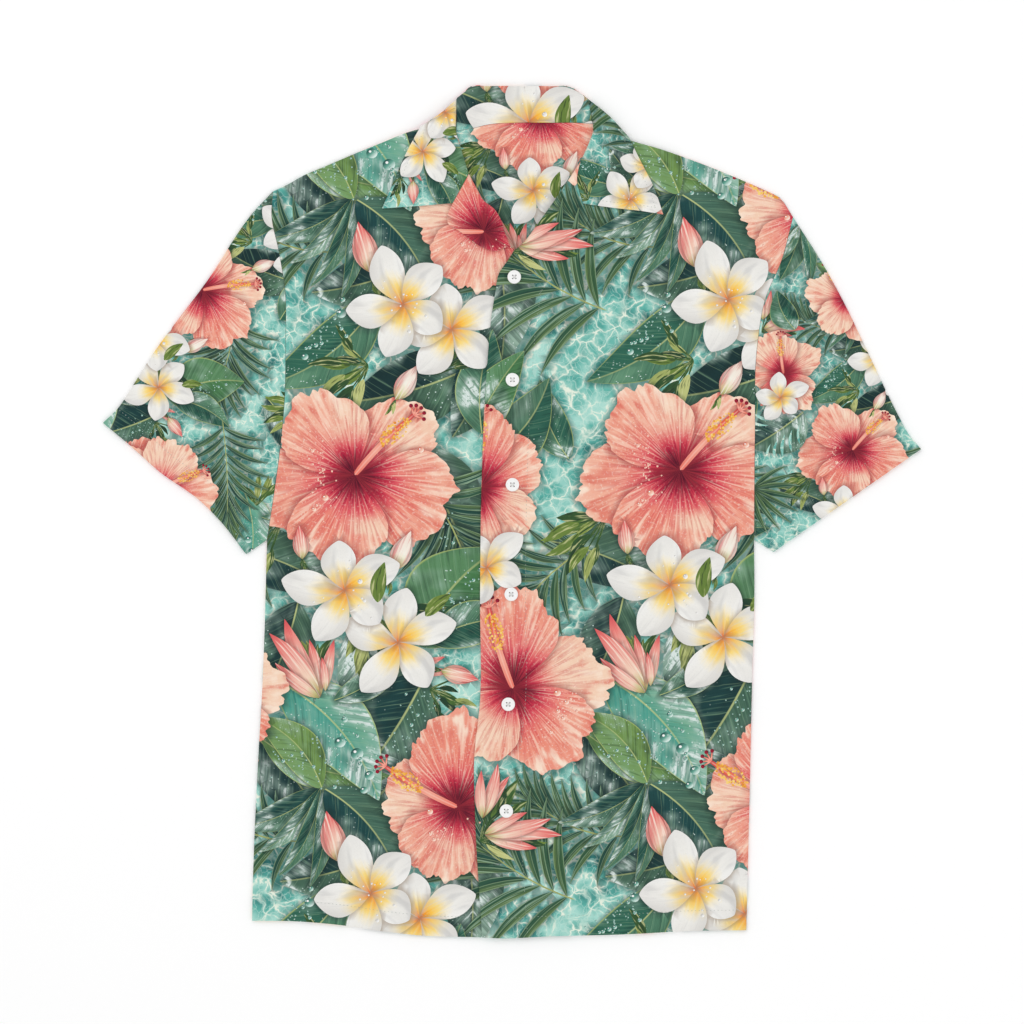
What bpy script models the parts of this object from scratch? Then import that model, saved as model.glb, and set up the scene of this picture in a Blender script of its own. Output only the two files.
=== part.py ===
"""A short-sleeved camp shirt, buttoned up and lying flat on its back.

X runs across the shirt, Y from the hem to the collar, and Z up from the surface that it lies on.
Sizes and tables are in millimetres, and each mesh is scaled to metres when it is made. Right and
left are the wearer's: the right front and sleeve lie at -X, and the left front laps over the right.
"""

import math

import bmesh
import bpy
import numpy as np
from mathutils import Vector
from mathutils.geometry import delaunay_2d_cdt

MM = 0.001
CLOTH = 1.2  # thickness of the cloth wall
GAP = 0.3  # clearance at seams and between pieces that lie on each other
GRID = 24.0  # spacing of the points inside a panel
EDGE_STEP = 13.0  # spacing of the points along an edge

PUFF = 3.0  # how far the upper layer stands off the lower one, well inside the outline
PUFF_REACH = 70.0  # distance from the outline at which it stands off fully
ROLL_LIFT = 1.6  # how far the cloth rises along the rolled neck edge
ROLL_REACH = 24.0
LOOSE = 0.5  # how much further off a panel the turned-out collar and facings lie
RAMP = 30.0  # length of the slope where a panel climbs over a layer below it
LEVEL = GRID + 2.0  # how far past that layer the panel stays level

FOLD_REACH = 2.0  # half-width of the collar's fold round the shoulder, at mid-cloth
STAND_RADIUS = 1.5  # radius of the roll over the back of the neck, at mid-cloth
LEAF_COLUMNS = 5
UNDERLAP = 22.0  # X of the right front's edge, hidden under the left front

BUTTON_RADIUS, BUTTON_THICK = 6.0, 2.2
BUTTON_ROUND = 0.6  # bevel of its outer edges
BUTTON_RIM, BUTTON_DISH = 1.3, 0.5  # width of the raised rim and depth of the dish inside it
BUTTON_SIDES, HOLE_SIDES = 24, 8
HOLE_RADIUS, HOLE_OFFSET = 0.8, 1.35

CLOTH_COLOUR = (0.23, 0.42, 0.36, 1.0)
FACING_COLOUR = (0.62, 0.26, 0.20, 1.0)
BUTTON_COLOUR = (0.88, 0.87, 0.84, 1.0)

# Edges of the pieces, each a smooth line through its rows of (x, y).
HEM = ((-228.8, -359.5), (-192, -360), (-154, -363), (-113, -369), (-80, -372.5), (-27, -374.2),
       (-9, -375), (30, -373.3), (98, -371.6), (157, -368.6), (206.3, -367.9))
RIGHT_SIDE = ((-228.8, -359.5), (-228.3, -332), (-224, -229), (-219.5, -148), (-215.6, -24.5))
LEFT_SIDE = ((206.3, -367.9), (208.8, -266), (211.4, -148), (213.4, -68), (213, -24.5))
RIGHT_ARMHOLE = ((-215.6, -24.5), (-211, 5), (-204, 55), (-200, 99), (-199, 151), (-199.5, 195),
                 (-205, 229), (-211.5, 262), (-210.3, 282.3))
LEFT_ARMHOLE = ((213, -24.5), (213.6, 67), (215.6, 146), (222.6, 187), (237.2, 222), (247.3, 259.7))
RIGHT_SHOULDER = ((-210.3, 282.3), (-197.6, 288.3), (-182, 297), (-170, 302), (-116, 324.5),
                  (-82.7, 336.7), (-53, 339))
LEFT_SHOULDER = ((76, 340), (100, 328.6), (130, 319.6), (205, 291), (220, 284.4), (236, 276),
                 (247.3, 259.7))
RIGHT_SLEEVE_TOP = ((-210.3, 282.3), (-224.4, 267.7), (-268.4, 203.4), (-317, 137.8), (-337.7, 105),
                    (-345.4, 93.2), (-360.1, 78.5))
LEFT_SLEEVE_TOP = ((247.3, 259.7), (274.3, 217), (294.4, 180), (313, 141), (340.6, 84), (348.8, 69),
                   (360.1, 55.4))
RIGHT_CUFF = ((-360.1, 78.5), (-337.7, 60), (-309.6, 35), (-274.6, 10), (-254.9, -10), (-233.9, -37.3))
LEFT_CUFF = ((360.1, 55.4), (230.3, -35.1))
RIGHT_UNDERARM = ((-233.9, -37.3), (-215.6, -24.5))
LEFT_UNDERARM = ((230.3, -35.1), (213, -24.5))
NECK_SEAM = ((-49.5, 334.8), (-34.8, 337.0), (-23.8, 339.8), (-0.4, 342.2), (25, 342.4),
             (50, 342.4), (68, 342.2), (76, 340))
RIGHT_ROLL = ((1.3, 229.3), (-5.9, 245), (-9.5, 257), (-15, 266), (-25.6, 275), (-30, 283),
              (-37.8, 297.3), (-44.4, 318.7), (-49, 335.4))
LEFT_ROLL = ((1.3, 229.3), (8.5, 235.5), (24.3, 256), (44, 284), (60, 308), (67.2, 324), (71, 335.4))
FRONT_EDGE = ((1.3, 229.3), (-5.9, 218.3), (-10.4, 212.2), (-15.3, 190), (-22.9, 116), (-26.8, 28),
              (-28.2, -77), (-28.2, -165), (-33.4, -218), (-32.8, -262), (-26.4, -374.2))
# Free edges of the turned-out facings, from the notch under the collar to the bottom of the V
RIGHT_FACING = ((-52.3, 271.2), (-57.2, 259), (-56.4, 253.4), (-47, 247.2), (-19.4, 230), (-14, 229),
                (-8, 232), (1.3, 232.1))
LEFT_FACING = ((62.4, 270.9), (67.2, 257.5), (66.4, 255.2), (42.9, 239), (24.6, 229), (13.2, 223.5),
               (6.2, 222), (1.3, 226.3))

# Collar sections, from the neck roll to the outer edge: roll x, y; middle x, y; edge x, y
RIGHT_LEAF = ((-37.8, 297.3, -45.0, 284.2, -52.3, 271.2), (-41.4, 309.0, -61.2, 289.0, -81.0, 269.0),
              (-44.4, 318.7, -79.4, 292.8, -114.4, 266.8), (-46.6, 326.6, -75.2, 309.0, -103.8, 291.4),
              (-49.0, 335.4, -71.2, 325.5, -93.3, 315.5), (-49.0, 349.4, -68.0, 338.4, -87.1, 327.4))
RIGHT_FOLD = (-48.8, 363.6, -63.5, 350.5, -80.1, 339.8)
FALL = ((-43.1, 368.6, -56.0, 345.0, -74.0, 322.0), (-36.1, 373.9, -48.0, 341.0, -60.0, 311.0),
        (-19.4, 374.9, -28.0, 340.0, -37.0, 305.5), (7.9, 375.0, 8.0, 339.0, 8.0, 304.0),
        (33.4, 374.8, 42.0, 340.0, 51.0, 305.5), (51.9, 373.7, 63.0, 342.0, 75.0, 310.0),
        (59.8, 368.8, 76.0, 345.0, 93.0, 320.0))
LEFT_FOLD = (66.0, 364.2, 85.9, 348.3, 103.0, 329.7)
LEFT_LEAF = ((69.1, 352.1, 89.5, 335.4, 108.2, 318.7), (71.0, 341.6, 93.2, 323.1, 115.3, 304.6),
             (71.0, 335.4, 97.9, 310.6, 124.8, 285.8), (67.2, 324.0, 100.2, 292.8, 133.1, 261.5),
             (63.4, 316.6, 88.0, 290.6, 112.6, 264.7), (61.6, 312.2, 77.2, 289.5, 92.8, 266.8),
             (60.0, 308.0, 57.2, 292.4, 62.4, 270.9))
# Where the inside of the collar meets the neck seam, one row for each row of FALL: x, y
STAND_SEAM = ((-48.4, 336.0), (-36.0, 337.3), (-20.0, 341.0), (7.9, 342.5), (34.0, 342.5),
              (56.0, 342.5), (71.3, 342.5))

# Soft folds of the upper layer: x, y of both ends, half-width, height
FOLDS = ((-196, 0, -96, 74, 15, 1.5), (-200, -46, -120, 8, 13, 1.1), (196, -8, 104, 62, 16, 1.4),
         (202, -60, 122, -12, 12, 1.0), (-318, 92, -246, 20, 13, 1.2), (-262, 150, -222, 60, 15, 1.3),
         (322, 70, 262, 8, 13, 1.2), (270, 150, 232, 70, 14, 1.1), (-128, -352, -104, -190, 17, 1.3),
         (104, -352, 118, -204, 18, 1.2), (168, -350, 160, -240, 14, 0.9), (-182, -340, -168, -236, 14, 1.0))

BUTTONS = ((2.0, 206.6), (0.4, 116.3), (0.4, 24.1), (-0.7, -72.2), (-3.3, -168.8), (-5.0, -262.6))


def clear_scene():
    for item in list(bpy.data.objects):
        bpy.data.objects.remove(item, do_unlink=True)


def cloth_like(name, colour, roughness):
    material = bpy.data.materials.new(name)
    material.use_nodes = True
    shader = material.node_tree.nodes["Principled BSDF"]
    shader.inputs["Base Color"].default_value = colour
    shader.inputs["Roughness"].default_value = roughness
    shader.inputs["Metallic"].default_value = 0.0
    return material


# Lines and outlines


def smooth(rows, step=EDGE_STEP):
    """Points about a step apart along a smooth curve through a table's rows."""
    knots = np.array(rows, float)
    run = np.r_[0, np.cumsum(np.linalg.norm(np.diff(knots, axis=0), axis=1))]
    slopes = np.gradient(knots, run, axis=0)
    at = np.linspace(0, run[-1], max(1, round(run[-1] / step)) + 1)
    k = np.clip(np.searchsorted(run, at, side="right") - 1, 0, len(run) - 2)
    reach = (run[k + 1] - run[k])[:, None]
    t = (at - run[k])[:, None] / reach
    start = (1 + 2 * t) * (1 - t) ** 2 * knots[k] + t * (1 - t) ** 2 * reach * slopes[k]
    return start + t**2 * (3 - 2 * t) * knots[k + 1] + t**2 * (t - 1) * reach * slopes[k + 1]


def joined(*edges):
    """One closed outline, counterclockwise, of edges that meet end to end."""
    outline = np.concatenate([edge[:-1] for edge in edges])
    x, y = outline.T
    area = (x * np.roll(y, -1) - y * np.roll(x, -1)).sum()
    return outline if area > 0 else outline[::-1]


def inwards(outline):
    """The mitred inward normal at each point of a closed counterclockwise outline."""
    normal = across(outline)
    before = np.roll(normal, 1, axis=0)
    facing = np.maximum(1 + (normal * before).sum(1), 0.4)
    return (normal + before) / facing[:, None]


def across(outline):
    """The inward normal of each stretch of a closed counterclockwise outline."""
    along = np.roll(outline, -1, axis=0) - outline
    along /= np.linalg.norm(along, axis=1)[:, None]
    return np.column_stack([-along[:, 1], along[:, 0]])


def distance(points, line):
    """Distance from each point to the nearest stretch of a line."""
    start, along = line[:-1], np.diff(line, axis=0)
    offset = points[:, None] - start
    share = np.clip((offset * along).sum(2) / (along**2).sum(1), 0, 1)
    return np.linalg.norm(offset - share[..., None] * along, axis=2).min(1)


def inside(points, outline):
    x, y = points.T[:, :, None]
    (x0, y0), (x1, y1) = outline.T, np.roll(outline, -1, axis=0).T
    crossing = (y0 > y) != (y1 > y)
    rise = np.where(y1 == y0, 1.0, y1 - y0)
    return (crossing & (x < x0 + (y - y0) * (x1 - x0) / rise)).sum(1) % 2 == 1


def edge_distance(points, outline):
    """Distance to a closed outline, positive inside it and negative outside."""
    reach = distance(points, np.vstack([outline, outline[:1]]))
    return np.where(inside(points, outline), reach, -reach)


def ease(share):
    share = np.clip(share, 0, 1)
    return share * share * (3 - 2 * share)


# Heights of the layers, as functions of an array of (x, y) points


def fall_outline():
    """The collar's fall, which lies under the back panel."""
    rows = (RIGHT_FOLD, *FALL, LEFT_FOLD)
    return np.array([row[:2] for row in rows] + [row[4:] for row in reversed(rows)])[::-1]


def silhouette():
    top = [row[:2] for row in FALL]
    collar = np.array([RIGHT_FOLD[4:], RIGHT_FOLD[2:4], RIGHT_FOLD[:2], *top, LEFT_FOLD[:2],
                       LEFT_FOLD[2:4], LEFT_FOLD[4:], LEFT_SHOULDER[2]])
    return joined(
        smooth(HEM), smooth(LEFT_SIDE), smooth(LEFT_UNDERARM)[::-1], smooth(LEFT_CUFF)[::-1],
        smooth(LEFT_SLEEVE_TOP)[::-1], smooth(LEFT_SHOULDER[2:])[::-1], collar[::-1],
        smooth(RIGHT_SHOULDER[:-1])[::-1], smooth(RIGHT_SLEEVE_TOP), smooth(RIGHT_CUFF),
        smooth(RIGHT_UNDERARM), smooth(RIGHT_SIDE)[::-1],
    )


def right_front_outline():
    hidden = (UNDERLAP, RIGHT_ROLL[0][1] - 9)
    foot = (UNDERLAP, -373.8)
    hem = smooth([row for row in HEM if row[0] < UNDERLAP] + [foot])
    return joined(hem, smooth((foot, hidden)), smooth((hidden, RIGHT_ROLL[0])), smooth(RIGHT_ROLL),
                  smooth((RIGHT_ROLL[-1], RIGHT_SHOULDER[-1])), smooth(RIGHT_SHOULDER)[::-1],
                  smooth(RIGHT_ARMHOLE)[::-1], smooth(RIGHT_SIDE)[::-1])


def left_front_outline():
    foot = FRONT_EDGE[-1]
    hem = smooth([foot] + [row for row in HEM if row[0] > foot[0] + 1])
    return joined(hem, smooth(LEFT_SIDE), smooth(LEFT_ARMHOLE), smooth(LEFT_SHOULDER)[::-1],
                  smooth((LEFT_SHOULDER[0], LEFT_ROLL[-1])), smooth(LEFT_ROLL)[::-1],
                  smooth(FRONT_EDGE))


OUTLINE = silhouette()
FALL_OUTLINE = fall_outline()
RIGHT_FRONT = right_front_outline()
ROLLS = (smooth(RIGHT_ROLL), smooth(LEFT_ROLL))


def under(points):
    """Underside of the lower layer: flat, but raised where the collar's fall lies under it."""
    away = -edge_distance(points, FALL_OUTLINE)
    return (CLOTH + GAP) * (1 - ease((away - LEVEL) / RAMP))


def folds(points):
    total = np.zeros(len(points))
    for x0, y0, x1, y1, width, height in FOLDS:
        start, along = np.array((x0, y0)), np.array((x1 - x0, y1 - y0))
        share = ((points - start) @ along) / (along @ along)
        away = distance(points, np.array(((x0, y0), (x1, y1))))
        total += height * np.exp(-((away / width) ** 2)) * ease(2.5 * share) * ease(2.5 - 2.5 * share)
    return total


def over(points):
    """Underside of the upper layer: the right front and the tops of the sleeves."""
    inward = edge_distance(points, OUTLINE)
    roll = np.min([distance(points, line) for line in ROLLS], axis=0)
    loft = PUFF * ease(inward / PUFF_REACH) + folds(points) * ease(inward / 20)
    return under(points) + CLOTH + GAP + loft + ROLL_LIFT * np.exp(-((roll / ROLL_REACH) ** 2))


def lapped(points):
    """Underside of the left front, which climbs over the right front."""
    away = -edge_distance(points, RIGHT_FRONT)
    return over(points) + (CLOTH + GAP) * (1 - ease((away - LEVEL) / RAMP))


def turned_right(points):
    """Underside of what is turned out over the right front."""
    return over(points) + CLOTH + GAP + LOOSE


def turned_left(points):
    return lapped(points) + CLOTH + GAP + LOOSE


# Solids


def make_solid(name, outer, inner, faces, material):
    """A closed wall between two copies of one sheet, joined round the sheet's free edges."""
    used = {}
    for face in faces:
        for a, b in zip(face, (*face[1:], face[0])):
            used[frozenset((a, b))] = None if frozenset((a, b)) in used else (a, b)
    shell = bmesh.new()
    skins = [[shell.verts.new(Vector(point) * MM) for point in skin] for skin in (outer, inner)]
    for face in faces:
        shell.faces.new([skins[0][i] for i in face])
        shell.faces.new([skins[1][i] for i in reversed(face)])
    for a, b in filter(None, used.values()):
        shell.faces.new((skins[0][b], skins[0][a], skins[1][a], skins[1][b]))
    bmesh.ops.recalc_face_normals(shell, faces=shell.faces)
    bmesh.ops.triangulate(shell, faces=shell.faces)
    mesh = bpy.data.meshes.new(name)
    shell.to_mesh(mesh)
    shell.free()
    mesh.materials.append(material)
    solid = bpy.data.objects.new(name, mesh)
    bpy.context.collection.objects.link(solid)
    return solid


def lattice(spacing):
    """A staggered grid over the whole shirt, so that stacked panels share their inner points."""
    low, high = OUTLINE.min(0), OUTLINE.max(0)
    rows = np.arange(low[1], high[1], spacing * math.sqrt(0.75))
    across_row = np.arange(low[0], high[0], spacing)
    return np.array([(x + (i % 2) * spacing / 2, y) for i, y in enumerate(rows) for x in across_row])


def fill(outline, spacing=GRID):
    """Points and triangles that fill an outline: its own points first, then the lattice."""
    grid = lattice(spacing)
    points = np.vstack([outline, grid[edge_distance(grid, outline) > 0.42 * spacing]])
    ring = list(range(len(outline)))
    made = delaunay_2d_cdt([Vector(point) for point in points], [], [ring], 1, 1e-4)
    where = {new: old[0] for new, old in enumerate(made[3])}
    return points, [tuple(where[i] for i in face) for face in made[2]]


def slab(name, outline, low, material, spacing=GRID):
    """A cloth panel whose underside follows the height function low."""
    points, faces = fill(outline + inwards(outline) * GAP / 2, spacing)
    height = low(points)
    return make_solid(name, np.column_stack([points, height + CLOTH]), np.column_stack([points, height]),
                      faces, material)


def slide(along, normal):
    """The step along a line that moves a point by one unit along a normal."""
    return along / (along @ normal)


def sleeve(name, edges, material):
    """A flattened tube. Edges are (line, whether it is a fold), counterclockwise; the rest are open."""
    outline = np.concatenate([line[:-1] for line, _ in edges])
    folded = np.concatenate([np.full(len(line) - 1, is_fold) for line, is_fold in edges])
    side = across(outline) * folded[:, None]
    side += np.roll(side, 1, axis=0)
    length = np.linalg.norm(side, axis=1)
    rim = np.flatnonzero(length)
    side[rim] /= length[rim, None]
    for corner in np.flatnonzero(folded != np.roll(folded, 1)):
        beyond = outline[corner - 1 if folded[corner] else (corner + 1) % len(outline)]
        side[corner] = slide(beyond - outline[corner], side[corner])
    base = outline + inwards(outline) * GAP / 2
    points, faces = fill(base + side * (CLOTH + GAP / 2))
    count, height = len(points), over(points)
    middle = dict(zip(rim.tolist(), range(2 * count, 2 * count + len(rim))))
    centre = (height[rim] + CLOTH) / 2
    layers = [np.column_stack([points, level]) for level in
              (height + CLOTH, 0 * height, height, 0 * height + CLOTH)]
    outer = np.vstack([*layers[:2], np.column_stack([base[rim], centre])])
    inner = np.vstack([*layers[2:], np.column_stack([(base + side * CLOTH)[rim], centre])])
    lower = [tuple(count + i for i in reversed(face)) for face in faces]
    walls = []
    for i in np.flatnonzero(folded).tolist():
        j = (i + 1) % len(outline)
        walls += [(j, i, middle[i], middle[j]), (middle[j], middle[i], count + i, count + j)]
    return make_solid(name, outer, inner, faces + lower + walls, material)


def station(row, columns):
    """Points of one collar section, along the parabola through its roll, middle and edge."""
    roll, middle, edge = np.array(row, float).reshape(3, 2)
    t = np.linspace(0, 1, columns + 1)[:, None]
    return roll * (1 - t) * (1 - 2 * t) + middle * 4 * t * (1 - t) + edge * t * (2 * t - 1)


def turn(line, outward, low, high, reach, angles):
    """Mid-cloth points and normals round a fold whose outer face just touches the line."""
    centre = line - outward * (reach + CLOTH / 2)
    rise = np.full(len(line), (high - low) / 2)
    for angle in angles:
        c, s = math.cos(math.radians(angle)), math.sin(math.radians(angle))
        point = np.column_stack([centre + outward * reach * c, (low + high) / 2 + rise * s])
        normal = np.column_stack([outward * c / reach, s / rise])
        yield point, normal / np.linalg.norm(normal, axis=1)[:, None]


def outward_of(line, towards):
    """Unit normals of a line of points, on the side of the point called towards."""
    along = np.gradient(line, axis=0)
    normal = np.column_stack([along[:, 1], -along[:, 0]])
    normal /= np.linalg.norm(normal, axis=1)[:, None]
    return normal if ((np.array(towards) - line.mean(0)) * normal.mean(0)).sum() > 0 else -normal


def leaf_sections(rows, turned):
    """The part of the collar that lies over a front."""
    for row in rows:
        plan = station(row, LEAF_COLUMNS)
        level = turned(plan) + CLOTH / 2
        yield np.column_stack([plan, level]), np.tile((0.0, 0.0, 1.0), (len(plan), 1))


def fold_sections(row, turned, towards, angles):
    """The fold round the shoulder, between the leaf over the front and the fall under the back."""
    line = station(row, LEAF_COLUMNS)
    outward = outward_of(line, towards)
    level = turned(line - outward * (FOLD_REACH + CLOTH / 2)) + CLOTH / 2
    return turn(line, outward, np.full(len(line), CLOTH / 2), level, FOLD_REACH, angles)


def fall_sections():
    """The fall under the back panel, set in at the roll for the turn up into the stand."""
    for row, outward in zip(FALL, top_normals()):
        plan = station(row, LEAF_COLUMNS)
        fade = np.linspace(1, 0, LEAF_COLUMNS + 1)[:, None] ** 2
        plan -= outward * (STAND_RADIUS + CLOTH / 2) * fade
        yield (np.column_stack([plan, np.full(len(plan), CLOTH / 2)]),
               np.tile((0.0, 0.0, -1.0), (len(plan), 1)))


def top_normals():
    return outward_of(np.array([row[:2] for row in FALL]), (0, 500))


def stand_sections():
    """Mid-cloth points and normals from the roll over the top down to the neck seam."""
    top = np.array([row[:2] for row in FALL])
    low, high = CLOTH / 2, CLOTH / 2 + 2 * STAND_RADIUS
    yield from turn(top, top_normals(), low, high, STAND_RADIUS, (-45, 0, 45, 90))
    start = top - top_normals() * (STAND_RADIUS + CLOTH / 2)
    end = np.array(STAND_SEAM) + (0, GAP)
    for share in (0.33, 0.67, 1.0):
        level = high + (CLOTH + GAP + CLOTH / 2 - high) * ease(share)
        point = np.column_stack([start + (end - start) * share, np.full(len(top), level)])
        yield point, np.tile((0.0, 0.0, 1.0), (len(top), 1))


def grid_faces(index):
    """Quads between the rows and columns of an array of point numbers."""
    corners = index[:-1, :-1], index[1:, :-1], index[1:, 1:], index[:-1, 1:]
    return list(zip(*(corner.ravel().tolist() for corner in corners)))


def collar(material):
    """One collar: a leaf over each front, the fall under the back and the inside of the neck."""
    down, up = (90, 45, 0, -45, -90), (-90, -45, 0, 45, 90)
    strip = [*leaf_sections(RIGHT_LEAF, turned_right),
             *fold_sections(RIGHT_FOLD, turned_right, (-200, 500), down),
             *fall_sections(),
             *fold_sections(LEFT_FOLD, turned_left, (200, 500), up),
             *leaf_sections(LEFT_LEAF, turned_left)]
    first = len(RIGHT_LEAF) + len(down)
    columns = LEAF_COLUMNS + 1
    index = np.arange(len(strip) * columns).reshape(-1, columns)
    rows = list(stand_sections())
    stand = index.size + np.arange(len(rows) * len(FALL)).reshape(len(rows), -1)
    stand = np.vstack([index[first:first + len(FALL), 0], stand])
    middle = np.vstack([point for point, _ in strip + rows])
    normal = np.vstack([direction for _, direction in strip + rows]) * CLOTH / 2
    return make_solid("collar", middle + normal, middle - normal,
                      grid_faces(index) + grid_faces(stand), material)


def facing(name, roll, section, free_edge, low, material):
    """The top of a front's facing, turned out over the front, beside the collar's end section."""
    gorge = station(section, LEAF_COLUMNS)
    neck = [row for row in roll if row[1] < section[1] + 1]
    outline = joined(smooth(neck), gorge, smooth(free_edge))
    slab(name, outline + inwards(outline) * GAP / 2, low, material, GRID / 2)


def button(name, x, y, material):
    """A turned button with a rim and four holes, just above the cloth under it."""
    shoulder, top, dish = BUTTON_RADIUS - BUTTON_ROUND, BUTTON_THICK, BUTTON_RADIUS - BUTTON_RIM
    profile = ((shoulder, 0.0), (BUTTON_RADIUS, BUTTON_ROUND), (BUTTON_RADIUS, top - BUTTON_ROUND),
               (shoulder, top), (dish, top), (dish - BUTTON_DISH, top - BUTTON_DISH))
    disc = turned_disc(name, profile, BUTTON_SIDES)
    disc.data.materials.append(material)
    cutter = turned_disc(name + "_holes", ((HOLE_RADIUS, -1.0), (HOLE_RADIUS, top + 1.0)), HOLE_SIDES,
                         holes())
    cutter.hide_render = True
    cutter.display_type = "WIRE"
    cutter.parent = disc
    cut = disc.modifiers.new("holes", "BOOLEAN")
    cut.object = cutter
    angle = np.linspace(0, 2 * math.pi, BUTTON_SIDES, endpoint=False)
    ring = np.column_stack([np.cos(angle), np.sin(angle)]) * BUTTON_RADIUS
    height = lapped(np.vstack([ring, (0.0, 0.0)]) + (x, y)).max() + CLOTH + GAP
    disc.location = Vector((x, y, height)) * MM


def holes():
    return [(sx * HOLE_OFFSET, sy * HOLE_OFFSET) for sx in (-1, 1) for sy in (-1, 1)]


def turned_disc(name, profile, segments, centres=((0.0, 0.0),)):
    """Closed turned shapes on upright axes, from a profile of (radius, height)."""
    mesh = bpy.data.meshes.new(name)
    shape = bmesh.new()
    for cx, cy in centres:
        rings = []
        for radius, height in profile:
            angles = [2 * math.pi * i / segments for i in range(segments)]
            rings.append([shape.verts.new(Vector((cx + radius * math.cos(a), cy + radius * math.sin(a),
                                                  height)) * MM) for a in angles])
        for below, above in zip(rings, rings[1:]):
            for i in range(segments):
                j = (i + 1) % segments
                shape.faces.new((below[i], below[j], above[j], above[i]))
        shape.faces.new(rings[0][::-1])
        shape.faces.new(rings[-1])
    bmesh.ops.recalc_face_normals(shape, faces=shape.faces)
    shape.to_mesh(mesh)
    shape.free()
    made = bpy.data.objects.new(name, mesh)
    bpy.context.collection.objects.link(made)
    return made


def back_outline():
    return joined(smooth(HEM), smooth(LEFT_SIDE), smooth(LEFT_ARMHOLE), smooth(LEFT_SHOULDER)[::-1],
                  smooth(NECK_SEAM)[::-1], smooth((NECK_SEAM[0], RIGHT_SHOULDER[-1])),
                  smooth(RIGHT_SHOULDER)[::-1], smooth(RIGHT_ARMHOLE)[::-1],
                  smooth(RIGHT_SIDE)[::-1])


def main():
    clear_scene()
    cloth = cloth_like("printed_cloth", CLOTH_COLOUR, 0.8)
    facing_cloth = cloth_like("facing_cloth", FACING_COLOUR, 0.8)
    plastic = cloth_like("button", BUTTON_COLOUR, 0.35)
    slab("back", back_outline(), under, cloth)
    slab("right_front", RIGHT_FRONT, over, cloth)
    slab("left_front", left_front_outline(), lapped, cloth)
    sleeve("right_sleeve", ((smooth(RIGHT_SLEEVE_TOP), True), (smooth(RIGHT_CUFF), False),
                            (smooth(RIGHT_UNDERARM), True), (smooth(RIGHT_ARMHOLE), False)), cloth)
    sleeve("left_sleeve", ((smooth(LEFT_ARMHOLE)[::-1], False), (smooth(LEFT_UNDERARM)[::-1], True),
                           (smooth(LEFT_CUFF)[::-1], False), (smooth(LEFT_SLEEVE_TOP)[::-1], True)), cloth)
    collar(cloth)
    facing("right_facing", RIGHT_ROLL, RIGHT_LEAF[0], RIGHT_FACING, turned_right, facing_cloth)
    facing("left_facing", LEFT_ROLL, LEFT_LEAF[-1], LEFT_FACING, turned_left, facing_cloth)
    for number, (x, y) in enumerate(BUTTONS, 1):
        button(f"button_{number}", x, y, plastic)


main()
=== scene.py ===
"""A short-sleeved camp shirt in a tropical print, buttoned up and lying flat on its back.

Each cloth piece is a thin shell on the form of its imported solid. The print is drawn with outlines
worked out by formula: a flat panel is cut into triangles along the outlines of the motifs that lie
on it, and each corner keeps its place in its own motif, from which the materials draw veins, throats
and sheen. Tables are in millimetres. Right and left are the wearer's, and right lies at -X.
"""

import math
from collections import namedtuple

import bpy
import numpy as np
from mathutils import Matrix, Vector
from mathutils.geometry import delaunay_2d_cdt


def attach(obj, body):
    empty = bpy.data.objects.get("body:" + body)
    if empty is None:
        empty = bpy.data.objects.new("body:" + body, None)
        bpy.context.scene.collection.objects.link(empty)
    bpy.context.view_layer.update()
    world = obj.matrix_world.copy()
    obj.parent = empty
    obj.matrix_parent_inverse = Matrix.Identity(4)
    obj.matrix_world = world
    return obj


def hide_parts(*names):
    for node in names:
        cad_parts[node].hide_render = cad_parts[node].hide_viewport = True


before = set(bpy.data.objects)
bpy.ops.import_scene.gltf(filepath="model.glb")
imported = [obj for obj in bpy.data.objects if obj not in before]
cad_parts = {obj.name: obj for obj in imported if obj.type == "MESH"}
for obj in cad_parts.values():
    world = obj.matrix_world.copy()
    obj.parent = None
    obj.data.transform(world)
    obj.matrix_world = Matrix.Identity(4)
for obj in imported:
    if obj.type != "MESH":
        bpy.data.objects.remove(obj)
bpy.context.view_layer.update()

MM = 0.001

# ---------------------------------------------------------------- sizes of the shirt

CLOTH, GAP = 1.2, 0.3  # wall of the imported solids, and the gaps between them: they space the layers
THIN = 0.8  # thickness of the cloth here, doubled at its turned edges
LEAF_THICK, LINING_THICK = 1.1, 0.4  # the two plies of the collar, and the inside of the neck
PUFF, PUFF_REACH, FOLD_START = 3.0, 70.0, 20.0  # how the upper layer rises from the outline inwards
ROLL_LIFT, ROLL_REACH = 1.6, 24.0  # its rise towards the rolled neck edges
LEVEL, RAMP = 26.0, 30.0  # beside what it climbs over, a layer stays up and then ramps down
LOOSE = 0.5  # how far the collar and facings stand off the fronts
SEAM_BEND = 1.15  # radius at which the upper and lower layers turn into each other
NECK_REACH, FOLD_REACH, STAND_REACH = 2.8, 2.6, 2.1  # how far in the rolled edges begin to turn
STAND_LOW, STAND_RISE, STAND_RUN = 2.6, 1.6, 28.0  # the inside of the collar, from its seam upwards
NECK_START, NECK_RUN, NECK_LEVEL = 328.0, 14.0, 3.0  # where a leaf's neck edge rises onto the stand
UNDERLAP = 22.0
HEM_DEPTH, FACING_DEPTH, HEM_RISE, FACING_RISE = 20.0, 42.0, 0.3, 0.2
STEP, STEP_ROWS = 1.2, (-1.2, -0.5, 0.0, 0.5, 1.2)  # width of a hem's step, and its rows of points
GROOVE_DEPTH, GROOVE_REACH = 0.4, 2.4  # the dip along the armhole seams
GUTTER_DEPTH, GUTTER_REACH = 0.35, 1.1  # the groove in which the stitches of an underside lie
SEW_IN, COLLAR_SEW, LINING_SEW = 2.0, 5.0, 13.0  # where the rows of stitches lie
STITCH, STITCH_PITCH, THREAD, SINK, ROOT = 2.4, 3.3, 0.4, 0.08, 0.1

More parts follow.
